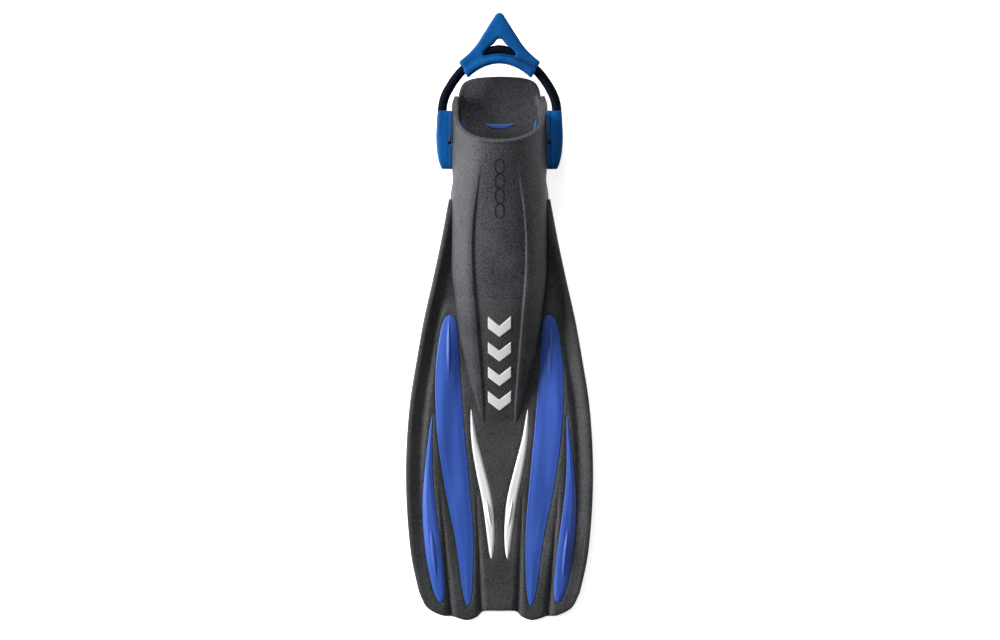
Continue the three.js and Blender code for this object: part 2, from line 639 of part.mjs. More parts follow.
for (const [name, side] of SIDES) {
  place(foot, `side_slot_${name}`,
    onSide(plate(sideSlot(0), -PLATE_THICK, 0.6), side), insertBlue);
  place(blade, `rail_${name}`, onSide(sideRail(), side), railRubber);
  for (const insert of INSERTS) {
    const strip = plate(insertOutline(insert, 0), INSERT_SINK - PANEL_THICK, -INSERT_SINK);
    place(blade, `${insert.name}_${name}`, onSide(strip, side), insert.material);
  }
  place(strap, `post_${name}`, onSide(post(), side), postPlastic);
  place(strap, `post_screw_${name}`, onSide(postScrew(), side), steel);
  place(strap, `terminal_base_${name}`, onSide(terminalBase(), side), strapBlue);
  place(strap, `terminal_cover_${name}`, onSide(terminalCover(), side), strapBlue);
  place(strap, `latch_${name}`, onSide(latch(), side), postPlastic);
  place(strap, `latch_spring_${name}`, onSide(latchSpring(), side), steel);
  place(strap, `cord_stop_${name}`, onSide(cordStop(), side), steel);
  TERMINAL_SCREWS.forEach(([y, z], i) => {
    place(strap, `terminal_screw_${name}_${i + 1}`,
      onSide(at(terminalScrew(), y, z), side), steel);
  });
  place(strap, `bungee_${name}`,
    toStrap(onSide(tube(bungeeLeg, CORD_RADIUS, 16), side)), cordBlack);
}
place(strap, 'bungee_middle', toStrap(tube(bungeeMiddle, CORD_RADIUS, 20)), cordBlack);
place(strap, 'heel_pad', toStrap(heelPad()), strapBlue);

export default fin;
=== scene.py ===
import math

import bmesh
import bpy
import numpy as np
from mathutils import Matrix, Vector


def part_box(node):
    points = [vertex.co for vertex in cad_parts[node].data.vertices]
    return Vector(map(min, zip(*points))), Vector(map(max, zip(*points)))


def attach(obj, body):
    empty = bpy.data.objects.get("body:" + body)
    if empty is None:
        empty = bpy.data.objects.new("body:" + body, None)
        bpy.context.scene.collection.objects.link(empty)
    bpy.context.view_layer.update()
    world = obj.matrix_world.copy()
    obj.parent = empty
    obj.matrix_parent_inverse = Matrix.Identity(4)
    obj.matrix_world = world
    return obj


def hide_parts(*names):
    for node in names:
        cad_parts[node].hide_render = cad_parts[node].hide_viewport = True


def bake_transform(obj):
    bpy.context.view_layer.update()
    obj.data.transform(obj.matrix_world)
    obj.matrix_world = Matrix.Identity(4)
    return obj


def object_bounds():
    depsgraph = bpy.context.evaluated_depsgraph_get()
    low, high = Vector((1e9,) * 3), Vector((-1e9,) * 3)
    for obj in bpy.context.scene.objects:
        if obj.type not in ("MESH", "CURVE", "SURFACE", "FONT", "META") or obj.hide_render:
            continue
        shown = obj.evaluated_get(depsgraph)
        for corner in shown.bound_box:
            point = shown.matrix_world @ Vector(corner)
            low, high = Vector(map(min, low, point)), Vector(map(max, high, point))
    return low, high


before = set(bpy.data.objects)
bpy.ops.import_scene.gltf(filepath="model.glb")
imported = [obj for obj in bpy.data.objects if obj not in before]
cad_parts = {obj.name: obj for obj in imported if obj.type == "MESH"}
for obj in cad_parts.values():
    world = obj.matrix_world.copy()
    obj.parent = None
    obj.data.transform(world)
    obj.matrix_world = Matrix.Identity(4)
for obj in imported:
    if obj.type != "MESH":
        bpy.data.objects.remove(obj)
cad_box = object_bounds()
MM = 0.001  # the fin's sizes below are in millimetres, and its meshes in metres

# ---- Studio -------------------------------------------------------------------------------------
# The fin lies on a white sheet with a large softbox low on its left and weaker ones on its right,
# overhead and behind its heel, and is seen from straight above through a long lens.
lowest, highest = cad_box
middle = (lowest + highest) / 2
FIELD = 1.17                     # metres across the view, at FIELD_HEIGHT
FIELD_HEIGHT = 0.04
AIM_X, AIM_BACK = 0.0006, 0.0033  # the view's middle: across, and towards the tip from the fin's
LENS, SENSOR = 200, 36

bpy.context.scene.view_settings.view_transform = "Standard"
bpy.ops.object.select_all(action="DESELECT")
bpy.ops.object.camera_add(
    location=(AIM_X, middle.y - AIM_BACK, FIELD_HEIGHT + FIELD * LENS / SENSOR),
    rotation=(0, 0, 0))
camera = bpy.context.object
camera.data.lens, camera.data.sensor_width = LENS, SENSOR
camera.data.clip_end = 50
bpy.context.scene.camera = camera


def softbox(name, place, size, power):
    """A square lamp at `place`, measured from the fin's middle, that faces the fin."""
    bpy.ops.object.light_add(type="AREA", location=middle + Vector(place))
    lamp = bpy.context.object
    lamp.name = name
    lamp.data.size, lamp.data.energy = size, power
    lamp.rotation_euler = Vector(place).to_track_quat("Z", "Y").to_euler()


softbox("key_softbox", (-1.9, 0.35, 0.85), 0.9, 108)
softbox("side_softbox", (1.9, 0.0, 0.6), 0.7, 7)
softbox("overhead_softbox", (-0.4, 0.6, 2.4), 1.2, 8)
softbox("heel_softbox", (-0.08, 0.8, 0.45), 0.3, 3.8)
sky = bpy.data.worlds.new("studio")
sky.use_nodes = True
sky.node_tree.nodes["Background"].inputs["Color"].default_value = (1, 1, 1, 1)
sky.node_tree.nodes["Background"].inputs["Strength"].default_value = 0.1
bpy.context.scene.world = sky


class Wire:
    """The output of a shader node. Arithmetic on it adds the Math nodes that do it."""

    def __init__(self, paint, socket):
        self.paint, self.socket = paint, socket

    def math(self, operation, *values):
        return self.paint.node("Math", {"operation": operation}, dict(enumerate(values)))

    def __add__(self, other):
        return self.math("ADD", self, other)

    def __sub__(self, other):
        return self.math("SUBTRACT", self, other)

    def __rsub__(self, other):
        return self.math("SUBTRACT", other, self)

    def __mul__(self, other):
        return self.math("MULTIPLY", self, other)

    __radd__, __rmul__ = __add__, __mul__

    def limited(self, low, high):
        """0 up to `low`, 1 from `high` on, and a smooth change between them."""
        return self.paint.node("MapRange", {"interpolation_type": "SMOOTHSTEP"},
                               {"Value": self, "From Min": low, "From Max": high})


class Paint:
    """A material in the making: its nodes, and the shader that they feed."""

    def __init__(self, name, **constants):
        self.material = bpy.data.materials.new(name)
        self.material.use_nodes = True
        self.tree = self.material.node_tree
        self.shader = self.tree.nodes["Principled BSDF"]
        for socket, value in constants.items():
            self.shader.inputs[socket.replace("_", " ")].default_value = value

    def node(self, kind, settings, sockets, output=0):
        made = self.tree.nodes.new("ShaderNode" + kind)
        for setting, value in settings.items():
            setattr(made, setting, value)
        for socket, value in sockets.items():
            if isinstance(value, Wire):
                self.tree.links.new(value.socket, made.inputs[socket])
            else:
                made.inputs[socket].default_value = value
        return Wire(self, made.outputs[output])

    def place(self):
        return self.node("TexCoord", {}, {}, "Object")

    def noise(self, size, detail=3.0, vector=None):
        """Cloudy values from 0 to 1, whose clouds are `size` millimetres across."""
        return self.node("TexNoise", {}, {"Vector": vector or self.place(),
                                          "Scale": 1 / (size * MM), "Detail": detail})

    def stretched(self, *scale):
        """Places with each axis scaled, so that noise on them is drawn out along one."""
        return self.node("Mapping", {}, {"Vector": self.place(), "Scale": scale})

    def edges(self, low, high):
        """1 on sharp outer edges and 0 elsewhere."""
        return self.node("NewGeometry", {}, {}, "Pointiness").limited(low, high)

    def mix(self, share, first, second):
        return self.node("Mix", {"data_type": "RGBA"},
                         {"Factor": share, 6: first, 7: second}, 2)

    def finish(self, colour, roughness, height, depth):
        """`height` from 0 to 1 stands `depth` millimetres proud."""
        bump = self.node("Bump", {}, {"Height": height, "Distance": depth * MM})
        for socket, value in (("Base Color", colour), ("Roughness", roughness), ("Normal", bump)):
            self.tree.links.new(value.socket, self.shader.inputs[socket])
        return self.material


def colour(red, green, blue):
    """A colour on screen, 0 to 255, as the shader's light values."""
    return tuple(((c / 255 + 0.055) / 1.055) ** 2.4 if c > 10 else c / 255 / 12.92
                 for c in (red, green, blue)) + (1.0,)


sheet_paint = Paint("white_sheet", Specular_IOR_Level=0.1, Emission_Color=(1, 1, 1, 1),
                    Emission_Strength=0.74)
FLOOR_SIZE, FLOOR_GAP = 9, 0.2 * MM
mottle = sheet_paint.noise(120)
white_sheet = sheet_paint.finish(
    sheet_paint.mix(mottle, colour(250, 250, 250), colour(253, 253, 253)),
    mottle * 0.1 + 0.8, sheet_paint.noise(2), 0.02)
bpy.ops.mesh.primitive_plane_add(
    size=FLOOR_SIZE, location=(middle.x, middle.y, lowest.z - FLOOR_GAP))
floor = bpy.context.object
floor.name = "studio_floor"
floor.data.materials.append(white_sheet)

# ---- Blade --------------------------------------------------------------------------------------
# The blade is one stiff moulding, 4 mm thick: flutes rise to the side rails, grooves run out
# through the trailing edge, and six windows are left open for the soft inserts. Its grain comes
# from the spark-eroded mould.
TOE_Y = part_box("foot_pocket")[0].y / MM        # the toe line, which both slopes start from
TOE_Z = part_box("foot_plate")[1].z / MM
FOOT_SLOPE = 0.105
PANEL_THICK, RAIL_TIP, RAIL_ROOT = 4, 3, 10
BLADE_LENGTH, BLADE_HALF = 378, 110
RAIL_END = 0.9127 * BLADE_LENGTH
BLADE_SLOPE = math.asin((TOE_Z - PANEL_THICK - RAIL_TIP) / RAIL_END)
POCKET_SIDE = 55.5


def leaned(points, slope):
    """Points in a frame that starts at the toe line and leans by `slope`, brought upright."""
    x, y, z = np.moveaxis(np.asarray(points, float), -1, 0)
    return np.stack([x, TOE_Y + y * math.cos(slope) - z * math.sin(slope),
                     TOE_Z + y * math.sin(slope) + z * math.cos(slope)], -1)


def on_blade(points):
    return leaned(points, BLADE_SLOPE)


def spline(points, share):
    """Points on the smooth curve through `points`, at shares of the way along it."""
    knots = np.array(points, float)
    at = np.asarray(share, float) * (len(knots) - 1)
    first = np.clip(at.astype(int), 0, len(knots) - 2)
    t = (at - first)[:, None]
    a, b, c, d = (knots[np.clip(first + k, 0, len(knots) - 1)] for k in (-1, 0, 1, 2))
    return b + t * (c - a) / 2 + t**2 * (2 * a - 5 * b + 4 * c - d) / 2 + t**3 * (
        3 * (b - c) + d - a) / 2


def curve_through(points):
    """The smooth line through (place, value) points, as a function."""
    dense = spline(sorted(points), np.linspace(0, 1, 400))
    return lambda place: np.interp(place, dense[:, 0], dense[:, 1])


def step(value, low, high):
    """0 up to `low`, 1 from `high` on, and smooth between them."""
    t = np.clip((value - low) / (high - low), 0, 1)
    return t * t * (3 - 2 * t)


def headings(points):
    """The unit direction of a line at each of its points."""
    ahead = np.gradient(points, axis=0)
    return ahead / np.linalg.norm(ahead, axis=1)[:, None]


def travelled(points):
    """The distance along a line to each of its points."""
    return np.concatenate([[0], np.cumsum(np.linalg.norm(np.diff(points, axis=0), axis=1))])


def placed(points, distances):
    """Points in plan at distances along a line."""
    return np.stack([np.interp(distances, travelled(points), points[:, k]) for k in (0, 1)], 1)


def boxed(value, power):
    """A sine or cosine, raised with its sign kept, which makes a round section boxy."""
    return np.sign(value) * np.abs(value) ** power


def sheet(name, rows):
    """A sheet of quads through rows of points, in millimetres."""
    rows = np.asarray(rows, float)
    bpy.ops.object.select_all(action="DESELECT")
    bpy.ops.mesh.primitive_grid_add(x_subdivisions=rows.shape[1] - 1,
                                    y_subdivisions=rows.shape[0] - 1)
    piece = bpy.context.object
    piece.name = piece.data.name = name
    piece.data.vertices.foreach_set("co", (rows * MM).astype(np.float32).ravel())
    return piece


def add_faces(piece, faces):
    """Closes a sheet with faces between its points, and turns every face outward."""
    work = bmesh.new()
    work.from_mesh(piece.data)
    work.verts.ensure_lookup_table()
    for face in faces:
        work.faces.new([work.verts[int(i)] for i in face])
    bmesh.ops.remove_doubles(work, verts=work.verts, dist=1e-7)
    bmesh.ops.recalc_face_normals(work, faces=work.faces)
    work.to_mesh(piece.data)
    work.free()
    return piece


def folded(name, rows):
    """A body from a sheet that is folded double: its side edges are closed, its ends are open.
    Gives the sheet, those faces and the grid of point numbers."""
    grid = np.arange(rows.shape[0] * rows.shape[1]).reshape(rows.shape[:2])
    last = len(grid) - 1
    sides = [[grid[i, c], grid[i + 1, c], grid[last - 1 - i, c], grid[last - i, c]]
             for i in range(len(grid) // 2 - 1) for c in (0, -1)]
    return sheet(name, rows), sides, grid


def ring_body(name, rings):
    """A closed body through rings of equally many points, with flat ends."""
    rings = np.asarray(rings, float)
    rows, count = rings.shape[:2]
    piece = sheet(name, rings)
    index = np.arange(rows * count).reshape(rows, count)
    seam = [[index[r, -1], index[r, 0], index[r + 1, 0], index[r + 1, -1]]
            for r in range(rows - 1)]
    return add_faces(piece, [*seam, index[0], index[-1]])


def choose(*pieces):
    """Selects these pieces and nothing else, with the first of them active."""
    bpy.ops.object.select_all(action="DESELECT")
    for piece in pieces:
        piece.select_set(True)
    bpy.context.view_layer.objects.active = pieces[0]


def turn_outward():
    """Turns every face of the active piece outward."""
    bpy.ops.object.mode_set(mode="EDIT")
    bpy.ops.mesh.select_all(action="SELECT")
    bpy.ops.mesh.normals_make_consistent(inside=False)
    bpy.ops.object.mode_set(mode="OBJECT")


def modify(piece, kind, **settings):
    """Adds a modifier and applies it."""
    choose(piece)
    modifier = piece.modifiers.new(kind.lower(), kind)
    for setting, value in settings.items():
        setattr(modifier, setting, value)
    bpy.ops.object.modifier_apply(modifier=modifier.name)
    return piece


def combine(piece, other, operation="DIFFERENCE"):
    """Cuts a body out of a piece, or joins it on, and removes that body."""
    modify(piece, "BOOLEAN", object=other, operation=operation, solver="EXACT")
    bpy.data.objects.remove(other)


def round_edges(piece, width, segments):
    """Rounds a piece's sharp edges by `width` millimetres."""
    return modify(piece, "BEVEL", width=width * MM, segments=segments, limit_method="ANGLE",
                  angle_limit=math.radians(50))


def dress(piece, material, body, slot, *replaced, sharp=35):
    """Smooths a finished piece, gives it its material and fixes it to its body."""
    choose(piece)
    bpy.ops.object.shade_smooth_by_angle(angle=math.radians(sharp))
    piece.data.materials.clear()
    piece.data.materials.append(material)
    if body:
        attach(piece, body)
    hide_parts(*replaced)
    return piece


def grained(name, dark, light, roughness, cell, depth, worn=None):
    """Moulded rubber or plastic: a leathery grain of `cell` mm, cloudy tone, paler worn edges."""
    paint = Paint(name, Specular_IOR_Level=0.16)
    cells = paint.node("TexVoronoi", {"feature": "SMOOTH_F1"}, {
        "Vector": paint.place(), "Scale": 1 / (cell * MM), "Smoothness": 0.5})
    fine = paint.noise(0.45 * cell, 4)
    cloud = paint.noise(38, 3).limited(0.35, 0.68)
    height = (1 - cells) * 0.65 + fine * 0.35
    tone = paint.mix(cloud * 0.25 + height.limited(0.3, 0.8) * 0.75, dark, light)
    if worn:
        tone = paint.mix(paint.edges(0.505, 0.56) * 0.55, tone, worn)
    rough = cloud * 0.08 + fine * 0.16 + (roughness - 0.12)
    return paint.finish(tone, rough, height, depth)


blade_grain = grained("grained_blade_plastic", colour(40, 41, 43), colour(72, 73, 75), 0.56,
                      1.5, 0.4)

edge = spline([[0.540, -0.312], [0.622, -0.185], [0.713, -0.061], [0.808, 0.0625],
               [0.883, 0.185], [0.952, 0.31], [0.989, 0.434], [1, 0.556], [0.984, 0.68],
               [0.941, 0.805], [0.862, 0.9127]], np.linspace(0, 1, 300))
edge *= [BLADE_HALF, -BLADE_LENGTH]
trail = spline([[0.862, 0.9127], [0.776, 0.96], [0.63, 0.984], [0.5, 0.989], [0.351, 1],
                [0.236, 0.989], [0.164, 0.972], [0, 0.971]], np.linspace(0, 1, 200))
trail *= [BLADE_HALF, -BLADE_LENGTH]
RAIL_WIDTH, RAIL_LAP = 7, 2      # the moulded-on rail laps the blade's edge by 2 mm


def blade_half(y):
    return np.interp(-y, -edge[:, 1], edge[:, 0]) - RAIL_WIDTH + RAIL_LAP


def blade_end(x):
    return np.interp(np.abs(x), trail[::-1, 0], trail[::-1, 1])


def rail_reach(y):
    """How far a rail stands above the blade: tall beside the toes, low at the tip."""
    return np.interp(-y, [-118, -95, -70, RAIL_END], [3, 8.2, RAIL_ROOT - 0.4, RAIL_TIP])


INSERTS = {
    "inner": {"half": 15.9, "peak": 0.4, "blunt": 0.55,
              "spine": [[0.526, 0.047], [0.551, 0.217], [0.521, 0.402], [0.452, 0.577],
                        [0.373, 0.749], [0.335, 0.955]]},
    "outer": {"half": 9.3, "peak": 0.71, "blunt": 0.45,
              "spine": [[0.718, 0.356], [0.755, 0.526], [0.75, 0.651], [0.696, 0.799],
                        [0.622, 0.944]]},
    "centre": {"half": 5.7, "peak": 0.58, "blunt": 0.6,
               "spine": [[0.303, 0.34], [0.271, 0.434], [0.207, 0.526], [0.133, 0.624],
                         [0.095, 0.725], [0.085, 0.807]]},
}


def leaf(insert, shares):
    """Along a leaf's spine: its points, its unit normals and its half widths."""
    spine = np.array(insert["spine"]) * [BLADE_HALF, -BLADE_LENGTH]
    points = spline(spine, shares)
    ahead = spline(spine, np.clip(shares + 1e-3, 0, 1)) - spline(
        spine, np.clip(shares - 1e-3, 0, 1))
    ahead /= np.linalg.norm(ahead, axis=1)[:, None]
    skew = math.log(0.5) / math.log(insert["peak"])
    half = insert["half"] * np.sin(np.pi * np.clip(shares, 0, 1) ** skew) ** insert["blunt"]
    return points, np.stack([-ahead[:, 1], ahead[:, 0]], 1), half


def leaf_outline(insert, grow):
    """A leaf's outline, widened by `grow`."""
    shares = (1 - np.cos(np.linspace(0, np.pi, 90)[1:-1])) / 2
    points, normals, half = leaf(insert, shares)
    ends, _, _ = leaf(insert, np.array([0.0, 1.0]))
    across = normals * (half + grow)[:, None]
    return np.concatenate([ends[:1], points + across, ends[1:], (points - across)[::-1]])


def nearest(x, y, outline):
    """Distance in plan from each point to an outline."""
    ends = np.roll(outline, -1, 0)
    best = np.full(x.shape, 1e9)
    for start, end in zip(outline, ends):
        way = end - start
        t = np.clip(((x - start[0]) * way[0] + (y - start[1]) * way[1])
                    / max(way @ way, 1e-9), 0, 1)
        best = np.minimum(best, np.hypot(x - start[0] - t * way[0], y - start[1] - t * way[1]))
    return best


# Grooves that run out through the trailing edge: where each starts and ends, as [x, y], and its
# half width and depth at the end.
GROOVES = [([70.5, -214], [56.5, -378], 8, 4.9), ([27.2, -218], [21.2, -378], 7.6, 4.7)]
FLUTE = 11                       # width of the hollow that rises to the rail
RIDGE = 3.2                      # height of the blunt ridge that carries the inserts
RIB_RISE = 2.2                   # how far the ribs between the grooves stand up at the end


def blade_relief(x, y):
    """Height of the blade's upper face, apart from the soft lips of its windows."""
    far = np.abs(x)
    inside = blade_half(y) - RAIL_LAP
    flute = np.clip(1 - (inside - far) / FLUTE, 0, 1)
    height = 0.86 * rail_reach(y) * flute**1.5
    height += RIDGE * (step(inside - far, 8, 18) * (1 - step(inside - far, 28, 50))
                       * step(y, -RAIL_END, -280) * (1 - step(y, -15, 5)))
    for start, end, half, depth in GROOVES:
        along = np.clip((y - start[1]) / (end[1] - start[1]), 0, 1.05)
        centre = start[0] + (end[0] - start[0]) * along
        width = 0.6 + half * along**0.8
        dip = np.clip(1 - np.abs(far - centre) / width, 0, 1)
        height -= depth * along**0.75 * (dip * dip * (1.6 - 0.6 * dip))
    height += RIB_RISE * step(-y, 225, 320) * (1 - flute)
    edge_near = np.clip(1 - (y - blade_end(x)) / 5, 0, 1)
    return height - 1.3 * edge_near**2


HORN = 100                       # how far the blade reaches back beside the pocket
WALL_LAP = 4                     # and how far it is let into the pocket's wall
HORN_ROWS, BLADE_ROWS = 40, 216  # rows of points beside the pocket, and down the blade
COLUMNS = [36, 30]               # quads from the middle to the pocket's side, and on to the rail
WINDOW_GAP = 0.3                 # a window is this much wider than its insert, all round
LIP_DEPTH, LIP_WIDTH = 0.75, 1.3  # the soft lip that runs round a window
WINDOW_CUT = (-14, 10)           # a window's cutter reaches from one level to the other
LEAST_KEPT = 0.6                 # the least share of the blade's faces that the cut leaves
lapped = POCKET_SIDE - WALL_LAP
notch = lapped / blade_half(0.0)
across = np.concatenate([np.linspace(0, notch, COLUMNS[0] + 1),
                         np.linspace(notch, 1, COLUMNS[1] + 1)[1:]])
across = np.concatenate([-across[:0:-1], across])
down = np.concatenate([np.linspace(HORN, 0, HORN_ROWS),
                       np.linspace(0, -1, BLADE_ROWS)[1:] * BLADE_LENGTH])
u, y = np.meshgrid(across, down)
x = u * blade_half(y)
for _ in range(4):                # the width and the end depend on each other, and soon settle
    run = np.where(y < 0, down[:, None] * blade_end(x) / -BLADE_LENGTH, y)
    x = u * blade_half(run)
beside = lapped + (blade_half(y) - lapped) * (np.abs(u) - notch) / (1 - notch)
horn = (down[:, None] > 0) & (np.abs(u) >= notch)
x = np.where(horn, np.sign(u) * beside, x)
y = run
z = blade_relief(x, y)
for insert in INSERTS.values():
    from_window = nearest(np.abs(x), y, leaf_outline(insert, WINDOW_GAP))
    z -= LIP_DEPTH * np.exp(-(from_window / LIP_WIDTH) ** 2)
blade = sheet("blade_skin", on_blade(np.stack([x, y, z], -1)))
bpy.ops.object.mode_set(mode="EDIT")
bpy.ops.mesh.select_mode(type="FACE")
bpy.ops.mesh.select_all(action="DESELECT")
bpy.ops.object.mode_set(mode="OBJECT")
quads = len(across) - 1
for face in blade.data.polygons:
    row, column = divmod(face.index, quads)
    face.select = row < HORN_ROWS - 1 and abs(column + 0.5 - quads / 2) < COLUMNS[0]
bpy.ops.object.mode_set(mode="EDIT")
bpy.ops.mesh.delete(type="FACE")
bpy.ops.object.mode_set(mode="OBJECT")
turn_outward()
if blade.data.polygons[0].normal.z < 0:
    blade.data.flip_normals()
modify(blade, "SOLIDIFY", thickness=PANEL_THICK * MM, offset=-1, use_even_offset=True)
up = Vector((0, -math.sin(BLADE_SLOPE), math.cos(BLADE_SLOPE)))
underside = up.dot((0, TOE_Y * MM, TOE_Z * MM)) - PANEL_THICK * MM
for vertex in blade.data.vertices:
    vertex.co += up * max(0.0, underside - up.dot(vertex.co))

cutters = []
for name, insert in INSERTS.items():
    outline = leaf_outline(insert, WINDOW_GAP)
    for side in (-1, 1):
        rings = [np.column_stack([outline * [side, 1], np.full(len(outline), level)])
                 for level in WINDOW_CUT]
        cutters.append(ring_body(f"window_{name}_{side}", on_blade(rings)))
choose(*cutters)
bpy.ops.object.join()
whole = len(blade.data.polygons)
combine(blade, cutters[0])
# The cut can fail on a steep relief and leave only scraps, which no later check would notice.
if len(blade.data.polygons) < LEAST_KEPT * whole:
    raise RuntimeError(f"cutting the windows left {len(blade.data.polygons)} of {whole} faces")
dress(blade, blade_grain, "fin", "blade_plastic", "blade_panel")

# ---- Side rails ---------------------------------------------------------------------------------
# A softer rubber bar is moulded over each edge of the blade. It stands tall beside the toes and
# runs down to almost nothing round the corner of the tip.
rail_grain = grained("grained_rail_rubber", colour(40, 41, 43), colour(74, 75, 77), 0.6,
                     1.3, 0.35)


def mirrored(piece, name):
    """The other side's copy, with its own mesh."""
    other = piece.copy()
    other.data = piece.data.copy()
    other.name = other.data.name = name
    bpy.context.scene.collection.objects.link(other)
    other.data.transform(Matrix.Scale(-1, 4, (1, 0, 0)))
    other.data.flip_normals()
    return other


def both(piece, stem):
    """The right-hand piece and its mirrored copy, named for their sides."""
    piece.name = piece.data.name = stem + "_right"
    return {"right": piece, "left": mirrored(piece, stem + "_left")}


CORNER_TO = 62                   # the rail ends this far from the middle
path = np.concatenate([edge, trail[trail[:, 0] > CORNER_TO][1:]])
travel = travelled(path)
stations = np.linspace(0, travel[-1], 150)
path = placed(path, stations)
heading = headings(path)
inward = np.stack([heading[:, 1], -heading[:, 0]], 1)
to_corner = travel[len(edge) - 1]
past = np.clip((stations - to_corner) / (travel[-1] - to_corner), 0, 1)
width = np.minimum(RAIL_WIDTH, path[:, 0] - POCKET_SIDE + 1.5) * (1 - 0.5 * past)
reach = rail_reach(path[:, 1]) * (1 - 0.85 * past)
angles = np.linspace(0, 2 * np.pi, 37)[:-1]
shape, lift = boxed(np.cos(angles), 0.42), boxed(np.sin(angles), 0.5)
rings = []
for point, inside, wide, tall in zip(path, inward, width, reach):
    plan = point + inside * (wide * (1 + shape) / 2)[:, None]
    rings.append(np.column_stack([plan, -PANEL_THICK / 2 + lift * (tall + PANEL_THICK / 2)]))
for side, rail in both(ring_body("rail", on_blade(rings)), "edge_rail").items():
    dress(rail, rail_grain, "fin", "rail_rubber", f"rail_{side}", sharp=50)

# ---- Soft inserts -------------------------------------------------------------------------------
# Six soft elastomer strips are moulded into the blade's windows, so that it cups the water:
# a large and a small blue one and a white one on each side. Each is slightly domed on both
# faces, with a shallow groove all round it and a raised spindle near one end.
# A spindle's two ends, as [x, y], and its half width.
SPINDLES = {"inner": ([59.2, -22], [59.2, -93], 2.6),
            "outer": ([80.6, -267], [74.2, -331], 2.9),
            "centre": ([15.6, -234], [9.8, -268], 2.1)}
INSERT_LAP = 0.35                # an insert is this much wider than its leaf, into the window


def elastomer(name, deep, pale, roughness):
    """Satin elastomer: even colour with faint flow clouds and a very fine matt texture."""
    paint = Paint(name, Specular_IOR_Level=0.3, Coat_Roughness=0.3, Coat_Weight=0.08)
    cloud = paint.noise(26, 4, paint.stretched(1.0, 0.25, 1.0)).limited(0.3, 0.7)
    fine = paint.noise(0.5, 5)
    tone = paint.mix(cloud * 0.7 + fine * 0.3, deep, pale)
    return paint.finish(tone, fine * 0.14 + cloud * 0.05 + (roughness - 0.1), fine, 0.03)


insert_blue = elastomer("blue_elastomer", colour(40, 68, 146), colour(52, 86, 166), 0.42)
insert_white = elastomer("white_elastomer", colour(194, 196, 195), colour(210, 212, 210), 0.45)
edge_on = np.linspace(-1, 1, 45)
edge_on = np.sign(edge_on) * (1 - (1 - np.abs(edge_on)) ** 1.5)


def soft_insert(name, insert, spindle):
    """A strip that fills its window, follows the blade's relief and domes over it."""
    count = 150 if name != "centre" else 110
    shares = (1 - np.cos(np.linspace(0, np.pi, count))) / 2
    shares = 0.6 * shares + 0.4 * np.linspace(0, 1, count)
    points, normals, half = leaf(insert, shares)
    half = np.maximum(half + INSERT_LAP, INSERT_LAP)
    plan = points[:, None] + normals[:, None] * (half[:, None] * edge_on)[..., None]
    x, y = plan[..., 0], plan[..., 1]
    from_edge = (1 - np.abs(edge_on)) * half[:, None]
    fullness = step(from_edge, 0, 0.55 * insert["half"])
    groove = 0.95 * (1 - np.clip(from_edge / 1.0, 0, 1)) ** 1.5
    start, end, wide = (np.array(value) for value in spindle)
    way = end - start
    along = ((x - start[0]) * way[0] + (y - start[1]) * way[1]) / (way @ way)
    swell = np.clip(1 - (2 * along - 1) ** 2, 0, 1)
    off = np.abs((x - start[0]) * way[1] - (y - start[1]) * way[0]) / np.linalg.norm(way)
    ridge = 1.7 * swell * np.clip(1 - off / (wide * swell + 1e-3), 0, 1) ** 0.9
    face = blade_relief(x, y)
    top = face - 0.25 + 0.95 * fullness - groove + ridge
    bottom = np.maximum(face, 0) - PANEL_THICK + 0.25 - 0.6 * fullness + groove
    rings = np.concatenate([np.stack([x, y, top], -1),
                            np.stack([x, y, bottom], -1)[:, ::-1]], 1)
    return ring_body(name, on_blade(rings))


for name, insert in INSERTS.items():
    white = name == "centre"
    strip = soft_insert(name, insert, SPINDLES[name])
    for side, piece in both(strip, f"soft_strip_{name}").items():
        dress(piece, insert_white if white else insert_blue, "fin",
              "white_rubber" if white else "blue_insert", f"insert_{name}_{side}", sharp=60)

# ---- Keel and foot pocket -----------------------------------------------------------------------
# The pocket is a rubber shell over the foot, moulded on to the stiff keel that carries its arch
# on down the blade. A sunk panel runs along the instep between two raised shoulders, a rolled
# bead stiffens the mouth, and the sides swell where they meet the foot plate.
FOOT_HALF, WALL = 48, 5
INSTEP_AT, INSTEP_HEIGHT, MOUTH_AT = 178, 85, 240
KEEL_LENGTH = 150
SPRING_SHARE, ROUNDNESS = 0.33, 0.94
SOFT_TURN = 30                   # the two slopes turn into each other over this far
BEAD_WIDTH, BEAD_RISE = 5.5, 0.8

spine_at = np.linspace(-420, 320, 1481)
spine_lean = np.interp(spine_at, [-SOFT_TURN, SOFT_TURN], [BLADE_SLOPE, -FOOT_SLOPE])
pace = spine_at[1] - spine_at[0]
spine_y = np.concatenate([[0], np.cumsum(np.cos(spine_lean[:-1]) * pace)])
spine_z = np.concatenate([[0], np.cumsum(np.sin(spine_lean[:-1]) * pace)])
spine_y += TOE_Y - SOFT_TURN * math.cos(BLADE_SLOPE) - np.interp(-SOFT_TURN, spine_at, spine_y)
spine_z += TOE_Z - SOFT_TURN * math.sin(BLADE_SLOPE) - np.interp(-SOFT_TURN, spine_at, spine_z)


def on_spine(points):
    """Points along the fin's bent spine, brought upright."""
    x, y, z = np.moveaxis(np.asarray(points, float), -1, 0)
    turn = np.interp(y, spine_at, spine_lean)
    return np.stack([x, np.interp(y, spine_at, spine_y) - z * np.sin(turn),
                     np.interp(y, spine_at, spine_z) + z * np.cos(turn)], -1)


